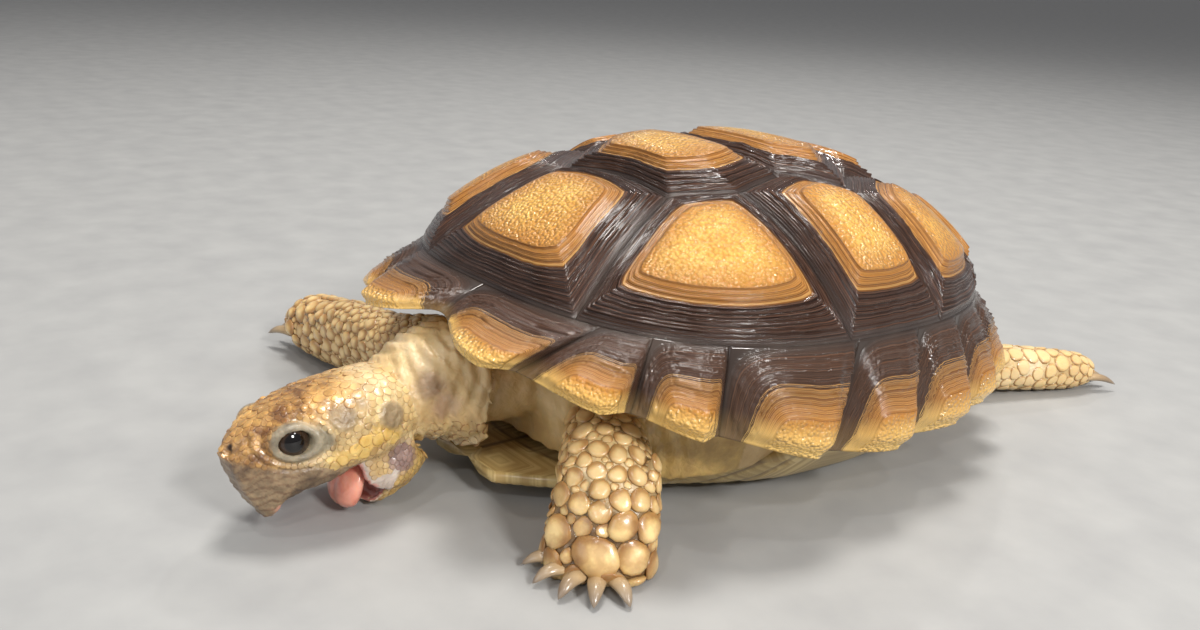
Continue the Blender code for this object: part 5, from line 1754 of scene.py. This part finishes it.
# %% Scales of the forelegs
faces_out = unit(skin_normals)
near_fore = (x > 17) & (y < -34) & (y > -62) & (z < 19) & (z > 0.5) & ~((x < 22) & (y > -38))
front = smooth(-0.25, 0.35, faces_out @ unit(own(0.66, -0.75, 0.1)))
near_size = 0.85 + (0.80 + 1.25 * smooth(13, 6, z)) * front
far_fore = (x < -24) & (y < -30) & (z > 0.6) & (z < 17.5)
far_front = smooth(-0.3, 0.3, faces_out @ unit(own(-0.3, -0.5, 0.8)))
far_growth = 0.45 + 0.55 * smooth(-38, -55, x) - 0.35 * smooth(-62, -68, x)
far_size = 0.80 - 0.30 * smooth(-36, -27, x) + far_growth * far_front
FORELEG_SCALES = (
    # name, where, size, direction down the leg
    ("near_fore", near_fore, near_size, own(0.25, -0.2, -1)),
    ("far_fore", far_fore, far_size, own(-1, 0, -0.15)),
)
for n, (key, where, size, down) in enumerate(FORELEG_SCALES):
    rng = np.random.default_rng(50 + n)
    size = size * rng.uniform(0.84, 1.12, len(size))
    sites, radii = pick_sites(rng, where, size, 5000, packing=0.76, fills=(1.0, 0.76, 0.56, 0.38))
    lay_scales("scales_" + key, sites, radii, down, 0.16 + 0.27 * np.maximum(radii - 0.5, 0), SHIELD,
               aspect=1.7, gap=0.10, tip=0.5, edge=1.0, turn=0.5, wobble=0.045, seed=60 + n)

# %% [markdown]
# ### Hind legs and tail
# The hind legs have flat scales that are wider than long, larger on top, and the tail has small
# ones.  One list serves all three coats.

# %% Scales of the hind legs and tail
near_hind = (y > 36) & (z > 0.5) & (x > 9)
far_hind = (y > 30) & (z > 0.5) & (x < -16)
on_tail = (y > 40) & (np.abs(x) < 6)
near_hind_size = 1.15 + 0.45 * smooth(0.0, 0.6, faces_out[:, 2]) - 0.35 * smooth(66, 76, y)
REAR_SCALES = (
    # name, where, size, tries, packing, direction, height, width to length, gap
    ("near_hind", near_hind, near_hind_size, 5000, 0.78, own(0.45, 0.9, -0.05), 0.24, 0.72, 0.16),
    ("far_hind", far_hind, 1.1 + 0 * x, 4000, 0.78, own(-0.2, 0.1, -1), 0.24, 0.85, 0.16),
    ("tail", on_tail, 0.72 + 0 * x, 3000, 0.80, own(0, 0.9, -0.4), 0.16, 1.0, 0.12),
)
rng = np.random.default_rng(55)
for n, (key, where, size, tries, packing, lie, height, aspect, gap) in enumerate(REAR_SCALES):
    sites, radii = pick_sites(rng, where, size, tries, packing=packing)
    lay_scales("scales_" + key, sites, radii, lie, height, TILE, aspect=aspect, gap=gap, tip=0.5, seed=65 + n)

# %% [markdown]
# ## Eyes
# Each eye is one polished ball behind the lids.  Pupil and iris could be separate discs, but a
# ball stays smooth in its glints.  So how far a point lies from the line of sight is stored on
# it, and the colours of pupil and iris follow that.

# %% Eyes
def whole_piece(name, body, material, marks=None):
    """A finished piece from a closed body's points and faces."""
    made = make_object(name, *body, material, marks)
    outward_faces(made)
    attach(made, "root")
    return made


eye_look, tree, shader = new_material("wet_eye", Roughness=0.12, Specular_IOR_Level=0.2,
                                      Coat_Weight=0.8, Coat_Roughness=0.02, Coat_IOR=1.5)
sight = mark(tree, "off_sight")
iris = mix(tree, clouds(tree, 1400.0, 3.0), (0.012, 0.007, 0.005), (0.060, 0.032, 0.017))
colour = mix(tree, fade_in(tree, sight, 0.30, 0.36), (0.004, 0.003, 0.003), iris)
colour = mix(tree, fade_in(tree, sight, 0.56, 0.62), colour, (0.028, 0.022, 0.018))
feed(shader, Base_Color=colour)
for side, label in ((1, "left"), (-1, "right")):
    centre = head_space(EYE_AT[0], side * (EYE_AT[1] - EYE_SINK - 0.1), EYE_AT[2])
    ball = closed_loft(ball_rings(centre, (EYE_RADIUS,) * 3, HEAD_AXES, 40, 26))
    gaze = unit(SIDE * side * 0.98 + FORWARD * 0.12 + UP * 0.05)
    off = np.arccos(np.clip(unit(ball[0] - centre) @ gaze, -1, 1)) / math.pi * 2
    made = whole_piece("glossy_eye_" + label, ball, eye_look, {"off_sight": off})
    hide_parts("eye_" + label)
print("eyes of", 2 * EYE_RADIUS, "mm")

# %% [markdown]
# ## Tongue
# The tongue is short, thick and rounded, with a soft groove down its middle.  It is lofted
# along the lower jaw's own axes, so it would follow the jaw if the gape were changed.  Pink
# noise and small buds keep it from looking like plastic.

# %% Tongue
TONGUE_STATIONS = (
    # along the jaw, half width, middle, half height
    (1.9, 1.2, 1.8, 0.5), (2.2, 3.2, 1.9, 1.1), (4.4, 4.2, 2.35, 1.6), (7.2, 4.2, 2.6, 1.75),
    (9.2, 3.3, 2.5, 1.45), (10.1, 1.7, 2.35, 0.8))
TONGUE_LEAN = 0.9           # it lolls towards the near side
tongue_look, tree, shader = new_material("wet_tongue", Roughness=0.28, Coat_Weight=0.5, Coat_Roughness=0.1,
                                         Subsurface_Weight=0.3, Subsurface_Scale=0.0015)
blush = ramp(tree, clouds(tree, 240.0, 3.0), ((0.3, (0.60, 0.17, 0.12)), (0.52, (0.80, 0.34, 0.24)),
                                              (0.72, (0.88, 0.50, 0.38))))
feed(shader, Base_Color=blush)
buds = grains(tree, 2600.0).outputs["Distance"]
shade_normal(shader, bump(tree, buds, 0.35, -0.0001))
c, k = unit_ring(40, 2.0)
rings = []
for f, wide, middle, tall in spline(TONGUE_STATIONS, 30):
    dip = 0.28 * np.exp(-(c * wide / 0.55) ** 2) * smooth(0.2, 0.8, k)
    rings.append(jaw_space(f, wide * c + TONGUE_LEAN * smooth(2, 8, f), middle + tall * k - dip))
tongue = whole_piece("soft_tongue", closed_loft(rings), tongue_look)
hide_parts("tongue")
print("tongue rings", len(rings))

# %% [markdown]
# ## Claws
# A tortoise's claws are blunt cones of horn, five on each fore foot and four on each hind
# foot.  A plain cone looks like a thorn, so each claw is a tapered tube with four faint ridges
# that arches a little on its way to the floor.

# %% Claw shape
CLAW_END = 0.08


def claw_rings(root, tip, radius):
    """Rings of one claw, which starts inside the toe."""
    along = unit(tip - root)
    side = unit(np.cross(along, (0, 0, 1.0)))
    up = np.cross(side, along)
    c, k = unit_ring(16, 2.1)
    rings = []
    ridge = 1 + 0.05 * np.cos(np.arange(16) * TAU / 4)
    for t in np.linspace(-0.45, 1.0, 14):
        size = max(radius * (1.0 if t < 0 else (1 - t ** 1.7) ** 0.62), CLAW_END)
        place = root + (tip - root) * t + up * radius * (0.55 * math.sin(math.pi * min(max(t, 0), 1)))
        ring_here = place + side * (c * ridge * size)[:, None] + up * (k * ridge * 0.78 * size)[:, None]
        ring_here[:, 2] = np.maximum(ring_here[:, 2], CLAW_END)
        rings.append(ring_here)
    return rings


print("a claw ends in a point of", 2 * CLAW_END, "mm")

# %% [markdown]
# Claw horn is translucent: pale at the root, darker towards the tip, with streaks along it.

# %% Claw horn
claw_look, tree, shader = new_material("claw_horn", Roughness=0.3, Coat_Weight=0.3, Coat_Roughness=0.15)
streak = clouds(tree, 380.0, 4.0, Distortion=0.6)
toward_tip = mark(tree, "to_tip")
base = mix(tree, toward_tip, (0.34, 0.21, 0.10), (0.12, 0.085, 0.065))
pale = mix(tree, toward_tip, (0.60, 0.44, 0.24), (0.34, 0.27, 0.20))
feed(shader, Base_Color=mix(tree, streak, base, pale))
shade_normal(shader, bump(tree, streak, 0.25, 0.0001))
print("claw material,", len(tree.nodes), "nodes")

# %% [markdown]
# The toes fan out round the middle of each foot, so one angle or one step per toe places all
# the claws of a foot, and they are one mesh.

# %% Claws
CLAWS = {"fore_left": [], "fore_right": [], "hind_left": [], "hind_right": []}
for n in range(5):
    a = math.radians(-122 + 26 * n)
    root = own(29.8 + 6.2 * math.cos(a), -45.0 + 5.6 * math.sin(a), 1.6)
    CLAWS["fore_left"].append((root, root + own(4.4 * math.cos(a), 4.4 * math.sin(a), -0.9), 1.2))
    a = math.radians(-59 + 30.5 * n)
    root = own(-63.9 - 2.2 * math.cos(a), -40.3 + 5.2 * math.sin(a), 4.0)
    reach = own(-6.4 * math.cos(a * 0.6), 4.4 * math.sin(a * 0.6), -1.3)
    CLAWS["fore_right"].append((root, root + reach, 1.15))
for n in range(4):
    across = -2.9 + 1.95 * n
    root = own(32.7 + across * 0.93, 76.5 - across * 0.36, 2.9)
    CLAWS["hind_left"].append((root, root + own(2.2 + across * 0.45, 5.6 - across * 0.1, -1.5), 1.0))
    a = math.radians(-150 + 24 * n)
    root = own(-29.6 + 4.8 * math.cos(a), 38.8 + 4.8 * math.sin(a), 1.5)
    CLAWS["hind_right"].append((root, root + own(3.8 * math.cos(a), 3.8 * math.sin(a), -0.8), 1.1))
for foot, nails in CLAWS.items():
    bodies = [closed_loft(claw_rings(*nail)) for nail in nails]
    to_tip = [(points - root) @ (tip - root) / ((tip - root) @ (tip - root))
              for (root, tip, _), (points, _) in zip(nails, bodies)]
    whole_piece("claws_" + foot, joined(bodies), claw_look, {"to_tip": np.concatenate(to_tip).clip(0, 1)})
print(sum(len(nails) for nails in CLAWS.values()), "claws")

# %% [markdown]
# ## Lower shell
# The plastron has six pairs of scutes: gulars, humerals, pectorals, abdominals, femorals and
# anals, with the abdominals largest and a notch under the tail.  It is one plate of bone, so it
# stays one mesh; the seams between scutes are grooves, and the growth rings round each
# hatchling patch are low ridges worked out from the distance to that patch.

# %% Sizes and relief of the lower shell
PLASTRON_STATIONS = (
    # forward place, half width of the flat, width of the wing, rise of the wing
    (-46.0, 7.5, 0.4, 0.4), (-41.0, 12.5, 0.5, 0.4), (-33.0, 17.5, 0.6, 0.5), (-25.0, 20.5, 1.2, 0.9),
    (-18.0, 24.0, 6.0, 5.0), (-9.0, 27.5, 8.6, 8.0), (2.0, 29.0, 8.4, 8.4), (12.0, 29.0, 7.4, 7.6),
    (19.0, 25.5, 4.5, 4.2), (25.0, 20.5, 1.0, 0.9), (32.0, 18.0, 0.6, 0.5), (40.0, 13.5, 0.5, 0.4),
    (45.0, 9.0, 0.4, 0.3))
SEAMS = (-37.5, -26.5, -17.0, 13.5, 30.0)      # along the middle line, between the pairs
SEAM_BEND = (6.0, 7.5, 3.0, -2.0, -6.0)        # how far each seam bends back or forward at the side
PATCHES = ((-43.5, 5.0), (-34.0, 13.0), (-20.5, 19.0), (3.0, 21.0), (22.0, 15.0), (36.5, 10.0))


def plastron_relief(x, y):
    """Depth of seams and height of growth rings on the underside, and how old the horn is."""
    side = np.abs(x)
    near_seam = np.abs(x) * 0.8
    for place, bend in zip(SEAMS, SEAM_BEND):
        near_seam = np.minimum(near_seam, np.abs(y - place - bend * (side / 26.0) ** 1.6))
    groove_depth = 0.34 * np.exp(-(near_seam / 0.45) ** 2)
    age = np.full_like(x, 99.0)
    for place, across in PATCHES:
        age = np.minimum(age, np.maximum(np.abs(y - place) * 1.5, np.abs(side - across)))
    rings = 0.07 * np.sin(age * TAU / 1.15) * smooth(2.4, 3.2, age)
    return rings - groove_depth, age, near_seam


table = spline(PLASTRON_STATIONS, 170)
print("lower shell stations", len(table))

# %% [markdown]
# The plate is a stack of cross-sections from front to rear.  Each runs along the underside,
# round the edge of the wing that rises to the shell's rim, and back over the top.

# %% Lower shell
lateral = np.concatenate((np.linspace(-1, -1e-3, 60), np.linspace(1e-3, 1, 60)))
wing_share = np.linspace(0, 1, 16)[1:]
under_rows, top_rows, ages, seams_near = [], [], [], []
for place, flat, wing, lift in table:
    near_front, near_rear = smooth(-43, -46, place), smooth(42, 45, place)
    share = np.concatenate((-1 - wing_share[::-1], lateral, 1 + wing_share))
    w = np.clip(np.abs(share) - 1, 0, 1)
    x = np.sign(share) * (flat * np.minimum(np.abs(share), 1) + wing * w)
    fork = near_front * (3.2 * (1 - np.minimum(np.abs(x) / 4.0, 1)) - 0.5) \
        - near_rear * (6.0 * (1 - np.minimum(np.abs(x) / 6.5, 1)) - 0.6)
    y = place + fork
    relief, age, near_seam = plastron_relief(x, y)
    level = PLASTRON_UNDERSIDE + lift * w ** 1.3
    under_rows.append(np.stack((x, y, level - relief + 0.05), -1))
    inward = -np.sign(share) * w * np.minimum(1.8, 0.3 * wing)
    top_rows.append(np.stack((x + inward, y, level + PLASTRON_THICKNESS - 0.4 * w), -1))
    ages.append(age)
    seams_near.append(near_seam)
under_rows, top_rows = settle(np.array(under_rows)), settle(np.array(top_rows))
under_rows[..., 2] = np.maximum(under_rows[..., 2], 0.0)
top_rows[..., 2] = np.maximum(top_rows[..., 2], under_rows[..., 2] + 1.4)
rings = np.concatenate((under_rows, top_rows[:, ::-1]), axis=1)
marks = {"age": np.array(ages), "near_seam": np.array(seams_near)}
marks = {key: np.append(np.concatenate((m, m[:, ::-1]), axis=1), (9, 9)) for key, m in marks.items()}

# %% [markdown]
# The lower shell's horn is straw-yellow with fine darker bands along its growth rings, and
# its seams hold a little brown.  It wears smooth on the ground, so it shines less than the back.

# %% Lower shell's horn
plastron_look, tree, shader = new_material("plastron_horn", Roughness=0.36, Coat_Weight=0.3,
                                           Coat_Roughness=0.18)
cloud = clouds(tree, 95.0, 4.0)
bands = fade_in(tree, bands_of(tree, times(tree, mark(tree, "age"), 0.9), 3.0), 0.42, 0.62)
straw = ramp(tree, cloud, ((0.3, (0.50, 0.36, 0.13)), (0.7, (0.72, 0.57, 0.28))))
banded = mix(tree, bands, (0.42, 0.285, 0.105), straw)
seam_line = fade_out(tree, mark(tree, "near_seam"), 0.0, 0.6)
feed(shader, Base_Color=mix(tree, seam_line, banded, (0.17, 0.105, 0.045)))
shade_normal(shader, bump(tree, cloud, 0.2, 0.0002))
lower = whole_piece("lower_shell", closed_loft(rings), plastron_look, marks)
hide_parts("plastron")
print("lower shell,", len(lower.data.vertices), "points")

# %% [markdown]
# ## Solids still plain
# Last, any solid that is still shown plain is named.

# %% Solids still plain
for o in bpy.data.objects:
    if o.get("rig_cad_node") and not o.hide_render:
        print("still plain:", o.name)
